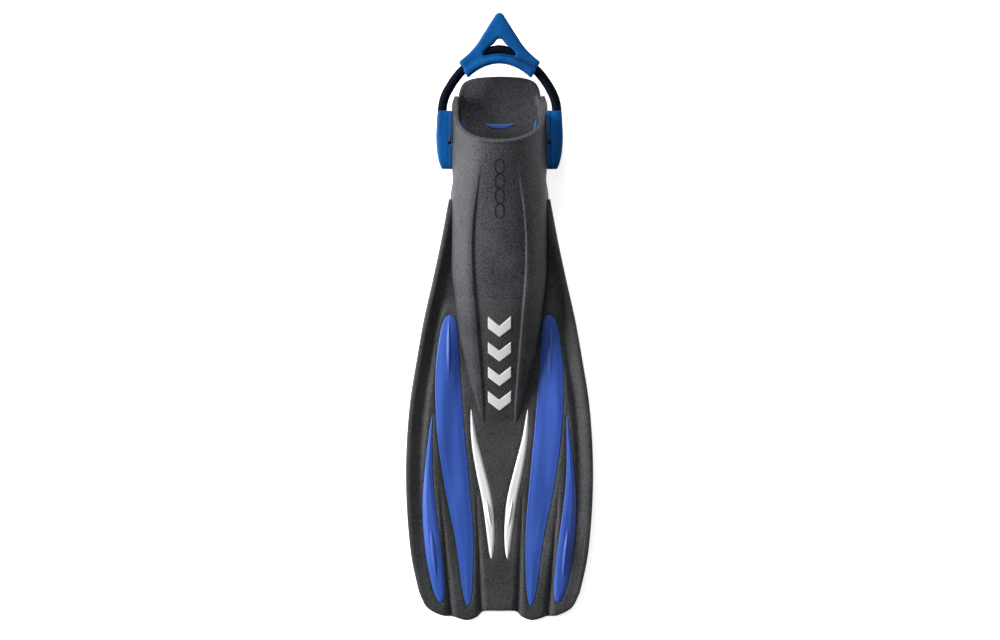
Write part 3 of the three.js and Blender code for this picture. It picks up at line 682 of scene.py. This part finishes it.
outer_half = curve_through([(-151, 17), (-125, 24.7), (-100, 31.7), (-75, 38.1), (-50, 43.9),
                            (-25, 48.4), (0, 51.6), (25, 54.6), (50, 55.4), (100, 55.5),
                            (130, 55.3), (150, 53.4), (180, 53), (260, 53)])
outer_top = curve_through([(-151, -0.35), (-143, 0.9), (-125, 6.4), (-100, 13), (-75, 19.6),
                           (-50, 26.5), (-25, 33.6), (0, 40), (30, 46.5), (60, 54), (90, 62.6),
                           (120, 71.6), (150, 81), (178, 90), (210, 101), (260, 117)])
panel_half = curve_through([(-151, 15.5), (-140, 16.3), (-80, 20.6), (-20, 25.3), (0, 27.2),
                            (28, 29.4), (65, 29.8), (101, 27), (143, 21), (190, 16), (260, 12)])
panel_depth = curve_through([(-151, 0), (-143, 0.7), (-125, 1.7), (-105, 2.2), (-60, 2.7),
                             (0, 3.1), (60, 3), (100, 2.3), (130, 1.1), (150, 0.3), (165, 0),
                             (260, 0)])
TERMINAL_FACE = 55.5             # where the strap's terminals start, outside the pocket's wall
TERMINAL_GAP = 0.12              # between the pocket's boss and a terminal
TUCK = 0.9                       # the keel and the pocket each run on under the other by this
STEP_WIDE = 2.2                  # width of the wall between the sunk panel and a shoulder

places = np.concatenate([np.linspace(0, 1, 14), np.linspace(1, 2, 32)[1:],
                         np.linspace(2, 3, 7)[1:], np.linspace(3, 4, 22)[1:]])
places = np.concatenate([places, places[-2::-1]])
hand = np.concatenate([np.ones(len(places) // 2 + 1), -np.ones(len(places) // 2)])


def arch_angle(share):
    """The arch's angle at a share of its half width from the middle."""
    return np.arccos(np.clip(share, 0, 1) ** (1 / ROUNDNESS))


def arch(y, out, inside_toe=None):
    """One arch's points at y: the sides, the shoulders and the sunk panel between them. `out` is
    0 on the outer face and -WALL on the inner one."""
    inner = np.clip(-out / WALL, 0, 1)
    half = outer_half(y) * (1 - inner) + FOOT_HALF * inner + np.maximum(out, 0)
    top = outer_top(y) + out
    if inside_toe is not None:
        half, top = half * inside_toe, top * inside_toe
    border = arch_angle(panel_half(y) / half)
    beyond = arch_angle((panel_half(y) + STEP_WIDE) / half)
    angle = np.where(places < 2, beyond * (places - 1),
                     np.where(places < 3, beyond + (border - beyond) * (places - 2),
                              border + (np.pi / 2 - border) * (places - 3)))
    angle = np.clip(angle, 0, np.pi / 2)
    spring = SPRING_SHARE * top
    x = half * np.cos(angle) ** ROUNDNESS
    z = np.where(places < 1, spring * places, spring + (top - spring) * np.sin(angle) ** ROUNDNESS)
    outer = 1 - inner
    past = x - panel_half(y)
    shown = panel_depth(y) * outer
    z = z - shown * (1 - step(past, 0, STEP_WIDE)) + 0.35 * shown * np.exp(-((past - 8) / 6) ** 2)
    crease = np.exp(-(y / 1.2) ** 2) * (1 - step(past, -6, -2)) * outer
    belly = 2.3 * np.exp(-((z - 6) / 6.5) ** 2) * step(y, 10, 60) * (1 - step(y, 115, 145))
    boss = (TERMINAL_FACE - TERMINAL_GAP - outer_half(y)) * np.exp(-((z - 22) / 16) ** 4)
    boss = boss * step(y, 134, 150)
    foot = 2.2 * np.exp(-(z / 2.2) ** 2) * (1 - step(y, -20, 10)) * step(y, -150, -120)
    x = x + (belly + boss + foot) * outer
    return np.stack([hand * x, y + 0 * x, z - 0.4 * crease], -1)


pocket_grain = grained("grained_pocket_rubber", colour(38, 39, 42), colour(73, 74, 77), 0.54,
                       1.8, 0.55)

keel_rows = np.concatenate([[0, -0.5, -1, -1.7], np.linspace(-3, -KEEL_LENGTH, 84)])
keel_rings = np.array([arch(TUCK, -0.4)] + [arch(y, 0.0) for y in keel_rows])
keel_rings[..., 2] -= 1.5 * (1 - np.minimum(places, 1))
keel = ring_body("keel_moulding", on_spine(keel_rings))
dress(keel, blade_grain, "fin", "blade_plastic", "blade_keel", sharp=48)


def pocket_row(back, out, inside_toe=None):
    """A row at a share of the way from the mouth to the toe line, along every line of the arch."""
    y = np.full(len(places), 200.0)
    for _ in range(12):           # the mouth's slant ties y to z, and this settles the two
        z = arch(y, out, inside_toe)[..., 2]
        y = (MOUTH_AT - z * (MOUTH_AT - INSTEP_AT) / INSTEP_HEIGHT) * (1 - back)
    return arch(y, out, inside_toe)


PER_MM = 1 / MOUTH_AT            # a share of the way for each millimetre at the foot plate
lengths = np.concatenate([[1], np.linspace(0.996, 0.05, 108), np.linspace(0.047, 0.026, 6)])
outer_rows = [arch(np.full(len(places), -TUCK), -0.4)]
outer_rows += [pocket_row(back, 0.0) if back < 1 else arch(np.zeros(len(places)), 0.0)
               for back in lengths]
bead = np.linspace(BEAD_WIDTH, 0.6, 9)
outer_rows += [pocket_row(back * PER_MM,
                          BEAD_RISE * max(0, 1 - ((back - 2.3) / 3.2) ** 2) ** 0.5)
               for back in bead]
lip = np.linspace(0.5, -WALL + 0.3, 9)
lip_rows = [pocket_row(-0.9 * PER_MM * math.sin(math.pi * (k + 0.5) / len(lip)), out)
            for k, out in enumerate(lip)]
ROUND_FROM, ROUND_TO = 0.82, 0.975         # where the inside starts to round off to the toes
TOE_SHARE = 0.7                            # and ends, at this share of its width and height
inner_rows = []
for back in [*bead[::-1] * PER_MM, *lengths[::-1]]:
    rounded = min(max(0.0, (back - ROUND_FROM) / (ROUND_TO - ROUND_FROM)), 1.0)
    inside_toe = TOE_SHARE + (1 - TOE_SHARE) * (1 - rounded**2) ** 0.5
    inner_rows.append(pocket_row(min(back, ROUND_TO), -WALL, inside_toe))
rows = np.array(outer_rows + lip_rows + inner_rows)
pocket, sole_edges, grid = folded("pocket_shell", on_spine(rows))
toe = [grid[0], grid[-1], [grid[0, 0], grid[0, -1], grid[-1, -1], grid[-1, 0]]]
add_faces(pocket, [*sole_edges, *toe])
dress(pocket, pocket_grain, "fin", "pocket_rubber", "foot_pocket", sharp=50)

# ---- Marks on the instep ------------------------------------------------------------------------
# Four white chevrons, moulded in the soft white rubber, lie in the sunk panel and point to the
# tip. Behind them a row of plain rings is embossed in the pocket's rubber; the rings are painted
# near black, a painted shade that stands for the shadow along their raised lines.
MARK = {"half": 13.5, "drop": 10.5, "bar": 13, "start": -18, "pitch": 29.5, "proud": 0.7}


def roof(x, y, lift):
    """Points on the sunk panel, `lift` above it."""
    x, y = np.broadcast_arrays(np.asarray(x, float), np.asarray(y, float))
    half, top = outer_half(y), outer_top(y)
    angle = arch_angle(np.abs(x) / half)
    height = SPRING_SHARE * top + (1 - SPRING_SHARE) * top * np.sin(angle) ** ROUNDNESS
    depth = panel_depth(y) * (1 - step(np.abs(x) - panel_half(y), 0, STEP_WIDE))
    return np.stack([x, y, height - depth + lift], -1)


across = np.linspace(-1, 1, 29)
MARKS = 4
for number in range(MARKS):
    back = MARK["start"] - number * MARK["pitch"]
    rows = [roof(MARK["half"] * across,
                 back - (1 - np.abs(across)) * MARK["drop"] - MARK["bar"] * share, MARK["proud"])
            for share in np.linspace(0, 1, 9)]
    chevron = sheet(f"white_chevron_{number + 1}", on_spine(rows))
    if chevron.data.polygons[0].normal.z < 0:
        chevron.data.flip_normals()
    modify(chevron, "SOLIDIFY", thickness=1.6 * MM, offset=-1)
    round_edges(chevron, 0.3, 2)
    dress(chevron, insert_white, "fin", "white_rubber", f"keel_mark_{number + 1}")

RING_HALF, RING_LONG, RING_LINE = 4.8, 3.1, 0.6
RING_START, RING_PITCH = 147, 16.6
# Near-black rubber for the embossed rings: a painted shade for the shadow along their raised lines.
ring_painted_shade = grained("embossed_ring_painted_shade", colour(14, 14, 16), colour(24, 24, 27), 0.6, 1.2, 0.1)
turn = np.linspace(0, 2 * np.pi, 49)[:-1]
for number in range(MARKS):
    centre = RING_START - number * RING_PITCH
    x = RING_HALF * np.cos(turn)
    y = centre + RING_HALF * np.sin(turn) + RING_LONG * np.sign(np.sin(turn))
    loop = roof(x, y, 0.05)
    tube = []
    for k, point in enumerate(loop):
        ahead = loop[(k + 1) % len(loop)] - loop[k - 1]
        side = np.array([ahead[1], -ahead[0], 0]) / np.hypot(ahead[0], ahead[1])
        tube.append([point + RING_LINE * (math.cos(a) * side + math.sin(a) * np.array([0, 0, 1]))
                     for a in np.linspace(0, 2 * np.pi, 9)[:-1]])
    rows = np.array(tube + tube[:1])
    rows = np.concatenate([rows, rows[:, :1]], 1)
    ring = add_faces(sheet(f"embossed_ring_{number + 1}", on_spine(rows)), [])
    dress(ring, ring_painted_shade, "fin", "pocket_rubber", sharp=70)

# ---- Foot plate, sole slots and treads ----------------------------------------------------------
# The stiff plate under the foot is one moulding with the blade's plastic. Its heel is dished with
# raised edges. Three soft blue plugs fill its drain slots, and ribbed treads are glued under it.
PLATE_THICK = 7
HEEL_HALF, HEEL_FROM = 53, 224   # the heel's half width, and where the plate's sides turn into it
HEEL_END = curve_through([(0, 264.1), (20, 263.2), (30, 261.8), (37, 259.6), (41.5, 257),
                          (44.5, 253.5), (46.5, 249), (48, 243), (48.8, 237), (50.5, 231),
                          (HEEL_HALF, HEEL_FROM)])
plate_half = curve_through([(0, 50.5), (25, 54), (50, 55), (130, 55), (150, 52.8), (264, 52.8)])
ACROSS_PLATE = 61                # points across the plate, closer together towards its sides
u, v = np.meshgrid(np.sin(np.linspace(-np.pi / 2, np.pi / 2, ACROSS_PLATE)) * 0.3
                   + np.linspace(-1, 1, ACROSS_PLATE) * 0.7, np.linspace(0.002, 1, 120))
x = u * plate_half(v * HEEL_FROM)
y = v * HEEL_END(np.abs(x))
heel_x = np.linspace(-HEEL_HALF, HEEL_HALF, 81)
heel_edge = np.column_stack([heel_x, HEEL_END(np.abs(heel_x))])
RIM_FROM = 150                   # the heel's raised rim starts from the plate's sides here
rim = nearest(x, y, np.concatenate([[[-HEEL_HALF, RIM_FROM]], heel_edge,
                                    [[HEEL_HALF, RIM_FROM]]]))
raised = 5.4 - 4.8 * step(y, 228, 248)     # the heel's end stays low, clear of the heel pad
dish = step(y, 196, 226) * (raised * (1 - step(rim, 1.5, 8)) - 1.2 * step(rim, 6, 26))
top = np.stack([x, y, dish - 0.9 * (1 - step(rim, 0, 1.6))], -1)
bottom = np.stack([x, y, np.full(x.shape, -PLATE_THICK)], -1)
plate, side_edges, grid = folded("sole_plate", on_spine(np.concatenate([top, bottom[::-1]])))
front = [[grid[0, k], grid[0, k + 1], grid[-1, k + 1], grid[-1, k]]
         for k in range(ACROSS_PLATE - 1)]
add_faces(plate, [*side_edges, *front])
round_edges(plate, 0.9, 3)
dress(plate, pocket_grain, "fin", "blade_plastic", "foot_plate", sharp=40)


PLUG_PROUD = 0.7


def slot_plug(name, spine, half):
    """A soft plug through the plate, slightly proud of both faces."""
    shares = np.linspace(0, 1, 41)
    points = spline(spine, shares)
    wide = half * np.maximum(np.sin(np.pi * shares), 0.02) ** 0.5
    rings = []
    for point, way, w in zip(points, headings(points), wide):
        ring = []
        for a in np.linspace(0, 2 * np.pi, 25)[:-1]:
            side = w * boxed(math.cos(a), 0.6)
            level = -PLATE_THICK / 2 + (PLATE_THICK / 2 + PLUG_PROUD) * boxed(math.sin(a), 0.35)
            ring.append([point[0] - way[1] * side, point[1] + way[0] * side, level])
        rings.append(ring)
    return ring_body(name, on_spine(rings))


dress(slot_plug("sole_plug", [(-17.5, 208), (-9, 205.2), (0, 204.4), (9, 205.2), (17.5, 208)], 3.3),
      insert_blue, "fin", "blue_insert", "sole_slot_insert", sharp=60)
side_plug = slot_plug("side_plug", [(43.5, 213), (42.6, 206), (40, 199)], 1.9)
for side, piece in both(side_plug, "side_plug").items():
    dress(piece, insert_blue, "fin", "blue_insert", f"side_slot_{side}", sharp=60)

tread_grain = grained("tread_rubber", colour(26, 26, 28), colour(38, 38, 40), 0.74, 0.7, 0.09,
                      colour(66, 66, 68))


RIB_DEPTH = 1.2                  # of the channels between a tread's ribs


def block(centre, size):
    """A box, from its centre and its size in metres."""
    bpy.ops.object.select_all(action="DESELECT")
    bpy.ops.mesh.primitive_cube_add(size=1, location=centre)
    made = bpy.context.object
    made.scale = size
    bpy.ops.object.transform_apply(location=True, rotation=True, scale=True)
    return made


def ribbed_tread(name, node, ribs):
    """A rounded pad with raised ribs across it, whose upper face leans as the plate does."""
    low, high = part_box(node)
    size, centre = high - low, (high + low) / 2
    pad = block(centre, size)
    pad.name = pad.data.name = name
    bpy.ops.object.mode_set(mode="EDIT")
    for k in range(1, 2 * ribs):
        bpy.ops.mesh.select_all(action="SELECT")
        bpy.ops.mesh.bisect(plane_co=(0, low.y + size.y * k / (2 * ribs), 0), plane_no=(0, 1, 0))
    bpy.ops.mesh.select_all(action="DESELECT")
    bpy.ops.object.mode_set(mode="OBJECT")
    for face in pad.data.polygons:
        slice_number = int((face.center.y - low.y) / (size.y / (2 * ribs)))
        face.select = face.normal.z < -0.9 and slice_number % 2 == 1
    bpy.ops.object.mode_set(mode="EDIT")
    bpy.ops.mesh.extrude_region_move(TRANSFORM_OT_translate={"value": (0, 0, RIB_DEPTH * MM)})
    bpy.ops.object.mode_set(mode="OBJECT")
    for vertex in pad.data.vertices:
        depth = (vertex.co.z - low.z) / size.z
        slope = math.tan(FOOT_SLOPE) * (vertex.co.y - centre.y)
        if name == "heel_tread_pad":
            vertex.co.z -= slope * max(0.0, min(1.0, depth * 1.2))
        else:
            vertex.co.z = centre.z + 1.5 * MM * (2 * depth - 1) - slope
    turn_outward()
    round_edges(pad, 0.5, 2)
    return dress(pad, tread_grain, "fin", "tread_rubber", node)


ribbed_tread("heel_tread_pad", "heel_tread", 9)
ribbed_tread("ball_tread_pad", "ball_tread", 11)

# ---- Strap posts --------------------------------------------------------------------------------
# A turned plastic post stands on each side of the pocket and carries the strap's terminal. A
# steel screw from inside the pocket holds it.
PIVOT_Y, PIVOT_Z = -52, 40
post_plastic = grained("post_plastic", colour(24, 25, 27), colour(34, 35, 38), 0.42, 0.6, 0.04,
                       colour(70, 71, 74))
steel_paint = Paint("brushed_steel", Metallic=1.0)
brush = steel_paint.noise(1.2, 5, steel_paint.stretched(0.15, 1.0, 4.0))
steel = steel_paint.finish(
    steel_paint.mix(brush, colour(164, 167, 171), colour(200, 202, 205)),
    brush * 0.22 + 0.2, brush, 0.02)


def turned(name, profile, sides=56):
    """A body turned about the posts' axis from [x, radius] points, which start and end on it."""
    angles = np.linspace(0, 2 * np.pi, sides + 1)
    rows = [[[x, PIVOT_Y + radius * math.cos(a), PIVOT_Z + radius * math.sin(a)] for a in angles]
            for x, radius in profile]
    return add_faces(sheet(name, rows), [])


post_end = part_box("post_right")[1].x / MM
flange = FOOT_HALF + WALL + 0.3  # the flange that lies on the pocket's wall starts here
post = turned("post", [
    [49.9, 0], [49.9, 3.6], [flange, 3.6], [flange, 10.6], [flange + 0.3, 11],
    [flange + 1.6, 11], [flange + 1.9, 10.6], [flange + 1.9, 4.7], [56.9, 4.7], [57.1, 3.7],
    [59.5, 3.7], [59.7, 4.7], [60.4, 4.7], [60.4, 6.2], [60.8, 6.6], [62.3, 6.6],
    [post_end, 6.0], [post_end, 0]])
for side, piece in both(post, "strap_post").items():
    dress(piece, post_plastic, "fin", "post_plastic", f"post_{side}", sharp=30)

screw = turned("screw", [[48.1, 0], [48.1, 1.2], [47.3, 1.5], [47.2, 4.4], [47.8, 5.7], [48.4, 6],
                         [49.5, 6], [49.5, 1.4], [58, 1.4], [58, 0]])
bpy.ops.object.select_all(action="DESELECT")
bpy.ops.mesh.primitive_cylinder_add(vertices=6, radius=2.1 * MM, depth=3 * MM,
                                    rotation=(0, math.pi / 2, 0),
                                    location=(47.2 * MM, PIVOT_Y * MM, PIVOT_Z * MM))
key_hole = bpy.context.object
combine(screw, key_hole)
for side, piece in both(screw, "post_bolt").items():
    dress(piece, steel, "fin", "steel", f"post_screw_{side}", sharp=30)

# ---- Strap terminals ----------------------------------------------------------------------------
# Each terminal is two blue nylon halves screwed together round the bungee's end: a flat inner
# half that clips on the post and a bulged outer half. A spring-loaded button in the inner half
# lets go of the post.
CORD_RADIUS, BORE_GAP = 5.5, 0.3   # the bungee, and its clearance in a terminal


def moulded_blue(name, deep, bright):
    """Injection-moulded blue nylon: a fine satin texture with faint flow marks along it, and a
    painted highlight of brighter blue on its convex edges.
    """
    paint = Paint(name, Specular_IOR_Level=0.08)
    cloud = paint.noise(16, 4, paint.stretched(1.0, 0.3, 1.0)).limited(0.3, 0.72)
    fine = paint.noise(0.4, 5)
    tone = paint.mix(cloud * 0.8 + fine * 0.2, deep, bright)
    # Painted highlight: the convex edges are mixed toward a brighter blue, as if catching the
    # light.
    tone = paint.mix(paint.edges(0.51, 0.58) * 0.35, tone, colour(4, 82, 150))
    return paint.finish(tone, fine * 0.16 + cloud * 0.06 + 0.4, fine, 0.035)


strap_blue = moulded_blue("moulded_strap_blue", colour(1, 53, 103), colour(2, 69, 124))
TERMINAL_FRONT, TERMINAL_REAR, TERMINAL_HALF = 23, 45, 11.5
BASE_TO, COVER_FROM = 60.1, 60.4
COVER_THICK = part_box("terminal_cover_right")[1].x / MM - COVER_FROM
tall = curve_through([(0, 0.62), (0.03, 0.76), (0.1, 0.87), (0.25, 0.95), (0.45, 0.99), (0.65, 1),
                      (0.9, 1), (0.96, 0.985), (0.985, 0.95), (1, 0.86)])
deep = curve_through([(0, 0.5), (0.03, 0.6), (0.1, 0.73), (0.2, 0.85), (0.34, 0.95), (0.5, 1),
                      (0.65, 0.99), (0.85, 0.94), (0.96, 0.9), (0.985, 0.86), (1, 0.76)])


def terminal_half(name, start, thick, boxy, taper):
    """Half a terminal: arched sections from its front end to its rear end."""
    rings = []
    for share in [*np.linspace(0, 0.06, 7), *np.linspace(0.08, 0.94, 34),
                  *np.linspace(0.955, 1, 9)]:
        y = PIVOT_Y - TERMINAL_FRONT + share * (TERMINAL_REAR + TERMINAL_FRONT)
        half = TERMINAL_HALF * tall(share)
        reach = thick * (deep(share) if taper else 1)
        ring = [[start, -half + 0.5], [start + 0.25, -half + 0.12]]
        for angle in np.linspace(-np.pi / 2, np.pi / 2, 35)[1:-1]:
            ring.append([start + 0.3 + (reach - 0.3) * math.cos(angle) ** boxy,
                         half * boxed(math.sin(angle), boxy)])
        ring += [[start + 0.25, half - 0.12], [start, half - 0.5]]
        rings.append([[px, y, PIVOT_Z + pz] for px, pz in ring])
    return ring_body(name, rings)


cover = terminal_half("cover", BASE_TO - 0.05, COVER_THICK + 0.35, 0.3, True)
CORD_X = COVER_FROM + 0.8 + CORD_RADIUS + BORE_GAP
bpy.ops.object.select_all(action="DESELECT")
bpy.ops.mesh.primitive_cylinder_add(
    vertices=48, radius=(CORD_RADIUS + BORE_GAP) * MM, depth=30 * MM,
    rotation=(math.pi / 2, 0, 0),
    location=(CORD_X * MM, (PIVOT_Y + TERMINAL_REAR) * MM, PIVOT_Z * MM))
combine(cover, bpy.context.object)
for side, piece in both(cover, "terminal_shell").items():
    dress(piece, strap_blue, "strap", "strap_blue", f"terminal_cover_{side}", sharp=40)

base = terminal_half("base", TERMINAL_FACE, BASE_TO - TERMINAL_FACE, 0.25, False)
button_low, button_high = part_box("latch_right")
button_x = (button_low.x + button_high.x) / 2
combine(base, block((button_x, (button_low.y + button_high.y) / 2, 50 * MM),
                    (3.4 * MM, button_high.y - button_low.y - 3.6 * MM, 18 * MM)))
for side, piece in both(base, "terminal_clip").items():
    dress(piece, strap_blue, "strap", "strap_blue", f"terminal_base_{side}", sharp=40)

BUTTON_FOOT = 38 * MM            # the button's lower end
button = block((button_x, (PIVOT_Y + 11.5) * MM, (BUTTON_FOOT + button_high.z) / 2),
               (button_high.x - button_low.x, 6.2 * MM, button_high.z - BUTTON_FOOT))
modify(button, "BEVEL", width=0.5 * MM, segments=3)
for side, piece in both(button, "release_button").items():
    dress(piece, post_plastic, f"latch_{side}", "post_plastic", f"latch_{side}")

spring_low, spring_high = (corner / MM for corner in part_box("latch_spring_right"))
WIRE_HALF, COILS = 0.35, 5
coil_half = (spring_high.x - spring_low.x) / 2 - WIRE_HALF
coil_rise = spring_high.z - spring_low.z - 2 * WIRE_HALF
rings = []
for turn in np.linspace(0, COILS, COILS * 24 + 1):
    out = np.array([math.cos(math.tau * turn), math.sin(math.tau * turn), 0])
    centre = np.array([(spring_low.x + spring_high.x) / 2, (spring_low.y + spring_high.y) / 2,
                       spring_low.z + WIRE_HALF + coil_rise * turn / COILS])
    rings.append([centre + coil_half * out + WIRE_HALF * (
        math.cos(a) * out + math.sin(a) * np.array([0, 0, 1]))
        for a in np.linspace(0, math.tau, 11)[:-1]])
for side, piece in both(ring_body("coil", rings), "latch_coil").items():
    dress(piece, steel, None, "steel", f"latch_spring_{side}", sharp=70)
    foot = (spring_low + spring_high) / 2 * MM
    foot.x *= 1 if side == "right" else -1
    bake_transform(piece)

for side in ("right", "left"):
    for node in (f"cord_stop_{side}", f"terminal_screw_{side}_1", f"terminal_screw_{side}_2"):
        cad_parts[node].data.materials.clear()
        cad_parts[node].data.materials.append(steel)

# ---- Heel pad -----------------------------------------------------------------------------------
# The blue heel pad is one soft moulding: a tall band, hollowed to the ankle, that runs into a
# finger loop. The bungee passes through its two shoulders and shows in the loop's window.
PAD_ROUND = 3.4                  # radius of the pad's edges


def quarter(start, pull, end, count=10):
    """Points on the curve from start to end that bends toward pull."""
    t = np.linspace(0, 1, count)[:, None]
    start, pull, end = (np.array(p, float) for p in (start, pull, end))
    return (1 - t) ** 2 * start + 2 * t * (1 - t) * pull + t * t * end


def outlined(name, half_height, *half_outlines):
    """A rounded slab from the right halves of its outline and, if it has one, of its window."""
    shape = bpy.data.curves.new(name, "CURVE")
    shape.dimensions, shape.fill_mode = "2D", "BOTH"
    shape.extrude, shape.bevel_depth = (half_height - PAD_ROUND) * MM, PAD_ROUND * MM
    shape.bevel_resolution, shape.offset = 4, -PAD_ROUND * MM
    for right in half_outlines:
        outline = np.concatenate([right, (right * [-1, 1])[::-1]])
        loop = shape.splines.new("POLY")
        loop.points.add(len(outline) - 1)
        loop.points.foreach_set("co", np.column_stack(
            [outline * MM, np.zeros(len(outline)), np.ones(len(outline))]).ravel())
        loop.use_cyclic_u = True
    slab = bpy.data.objects.new(name, shape)
    bpy.context.scene.collection.objects.link(slab)
    choose(slab)
    bpy.ops.object.convert(target="MESH")
    slab = bpy.context.object
    slab.data.transform(Matrix.Translation((0, 0, PIVOT_Z * MM)))
    return slab


LOOP_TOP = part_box("heel_pad")[1].y / MM
LOOP_HALF, PAD_HALF = 8.5, 15
loop_outline = np.concatenate([
    quarter((0, LOOP_TOP), (3.4, LOOP_TOP), (5.2, LOOP_TOP - 3), 6), [[23.4, 76]],
    quarter((23.4, 76), (31, 63), (48, 50.3))[1:], quarter((37, 31.6), (20, 48), (0, 48.7))])
window = np.concatenate([quarter((0, 77.6), (3.2, 77.4), (5.6, 72.6), 5),
                         quarter((5.6, 72.6), (7.2, 70.2), (10.4, 69), 4)[1:], [[18.4, 60.2]],
                         quarter((18.4, 60.2), (19, 58.2), (17, 58.2), 4)[1:],
                         quarter((17, 58.2), (8, 60.2), (0, 60.4))[1:]])
band_outline = np.concatenate([quarter((0, 57.5), (22, 56.5), (42.3, 40)),
                               quarter((37, 31.6), (20, 48), (0, 48.7))])
pad = outlined("finger_loop", LOOP_HALF, loop_outline, window)
combine(pad, outlined("ankle_band", PAD_HALF, band_outline), "UNION")

half_route = [[CORD_X, PIVOT_Y + 20], [CORD_X, -19], [CORD_X, -7], [65.8, 3], [62.8, 12],
              [58.6, 20], [53.6, 28], [48.3, 35], [42.8, 41], [35.5, 47.5], [26, 54.6],
              [14, 61.6], [0, 64.8]]
route = spline(half_route + [[-x, y] for x, y in half_route[-2::-1]], np.linspace(0, 1, 700))
cord_length = travelled(route)[-1]


def cord_run(name, start, end, count, radius, sides=28):
    """The bungee between two shares of its length, as a closed round bar."""
    points = placed(route, np.linspace(start, end, count) * cord_length)
    turn = np.linspace(0, 2 * np.pi, sides + 1)
    rings = [[[p[0] + radius * math.cos(a) * w[1], p[1] - radius * math.cos(a) * w[0],
               PIVOT_Z + radius * math.sin(a)] for a in turn]
             for p, w in zip(points, headings(points))]
    run = sheet(name, rings)
    grid = np.arange(count * (sides + 1)).reshape(count, sides + 1)
    return add_faces(run, [grid[0, :-1], grid[-1, :-1]])


LEG = 0.3                        # the share of the bungee on each side of the pad
TUNNEL_GAP = 0.4                 # round the bungee, in the pad
combine(pad, cord_run("tunnel", LEG - 0.02, 1.02 - LEG, 60, CORD_RADIUS + TUNNEL_GAP))
modify(pad, "REMESH", mode="VOXEL", voxel_size=0.85 * MM)
modify(pad, "SMOOTH", factor=0.5, iterations=24)
pad.name = pad.data.name = "heel_loop"
dress(pad, strap_blue, "heel_pad", "strap_blue", "heel_pad", sharp=80)

# ---- Bungee -------------------------------------------------------------------------------------
# A black rubber bungee in a close-braided nylon sleeve, 11 mm across and 0.26 m long between its
# steel stops. On the real fin its two legs stretch as the heel pad is pulled back; here they are
# built fixed in place, and its middle moves with the pad.
bungee_paint = Paint("braided_bungee", Specular_IOR_Level=0.03)
uv = bungee_paint.node("UVMap", {}, {})
STRANDS, PICKS = 24, 72          # strands round the sleeve, and crossings along a run
round_it = bungee_paint.node("SeparateXYZ", {}, {"Vector": uv}, "X") * (STRANDS * math.pi)
along_it = bungee_paint.node("SeparateXYZ", {}, {"Vector": uv}, "Y") * (PICKS * math.pi)
first, second = (way.math("SINE", way) for way in (round_it + along_it, round_it - along_it))
weave = first.math("MAXIMUM", first, second) * 0.5 + 0.5
lint = bungee_paint.noise(0.6, 4)
bungee_cover = bungee_paint.finish(
    bungee_paint.mix(weave * 0.6 + lint * 0.3, colour(1, 2, 8), colour(7, 10, 24)),
    lint * 0.2 + 0.5, weave, 0.1)
for side, start, end in (("right", 0, LEG), ("left", 1 - LEG, 1)):
    leg = cord_run(f"bungee_leg_{side}", start, end, 60, CORD_RADIUS)
    dress(leg, bungee_cover, None, "bungee", f"bungee_{side}", sharp=70)
    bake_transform(leg)
core = cord_run("bungee_core", LEG, 1 - LEG, 80, CORD_RADIUS)
dress(core, bungee_cover, "heel_pad", "bungee", "bungee_middle", sharp=70)
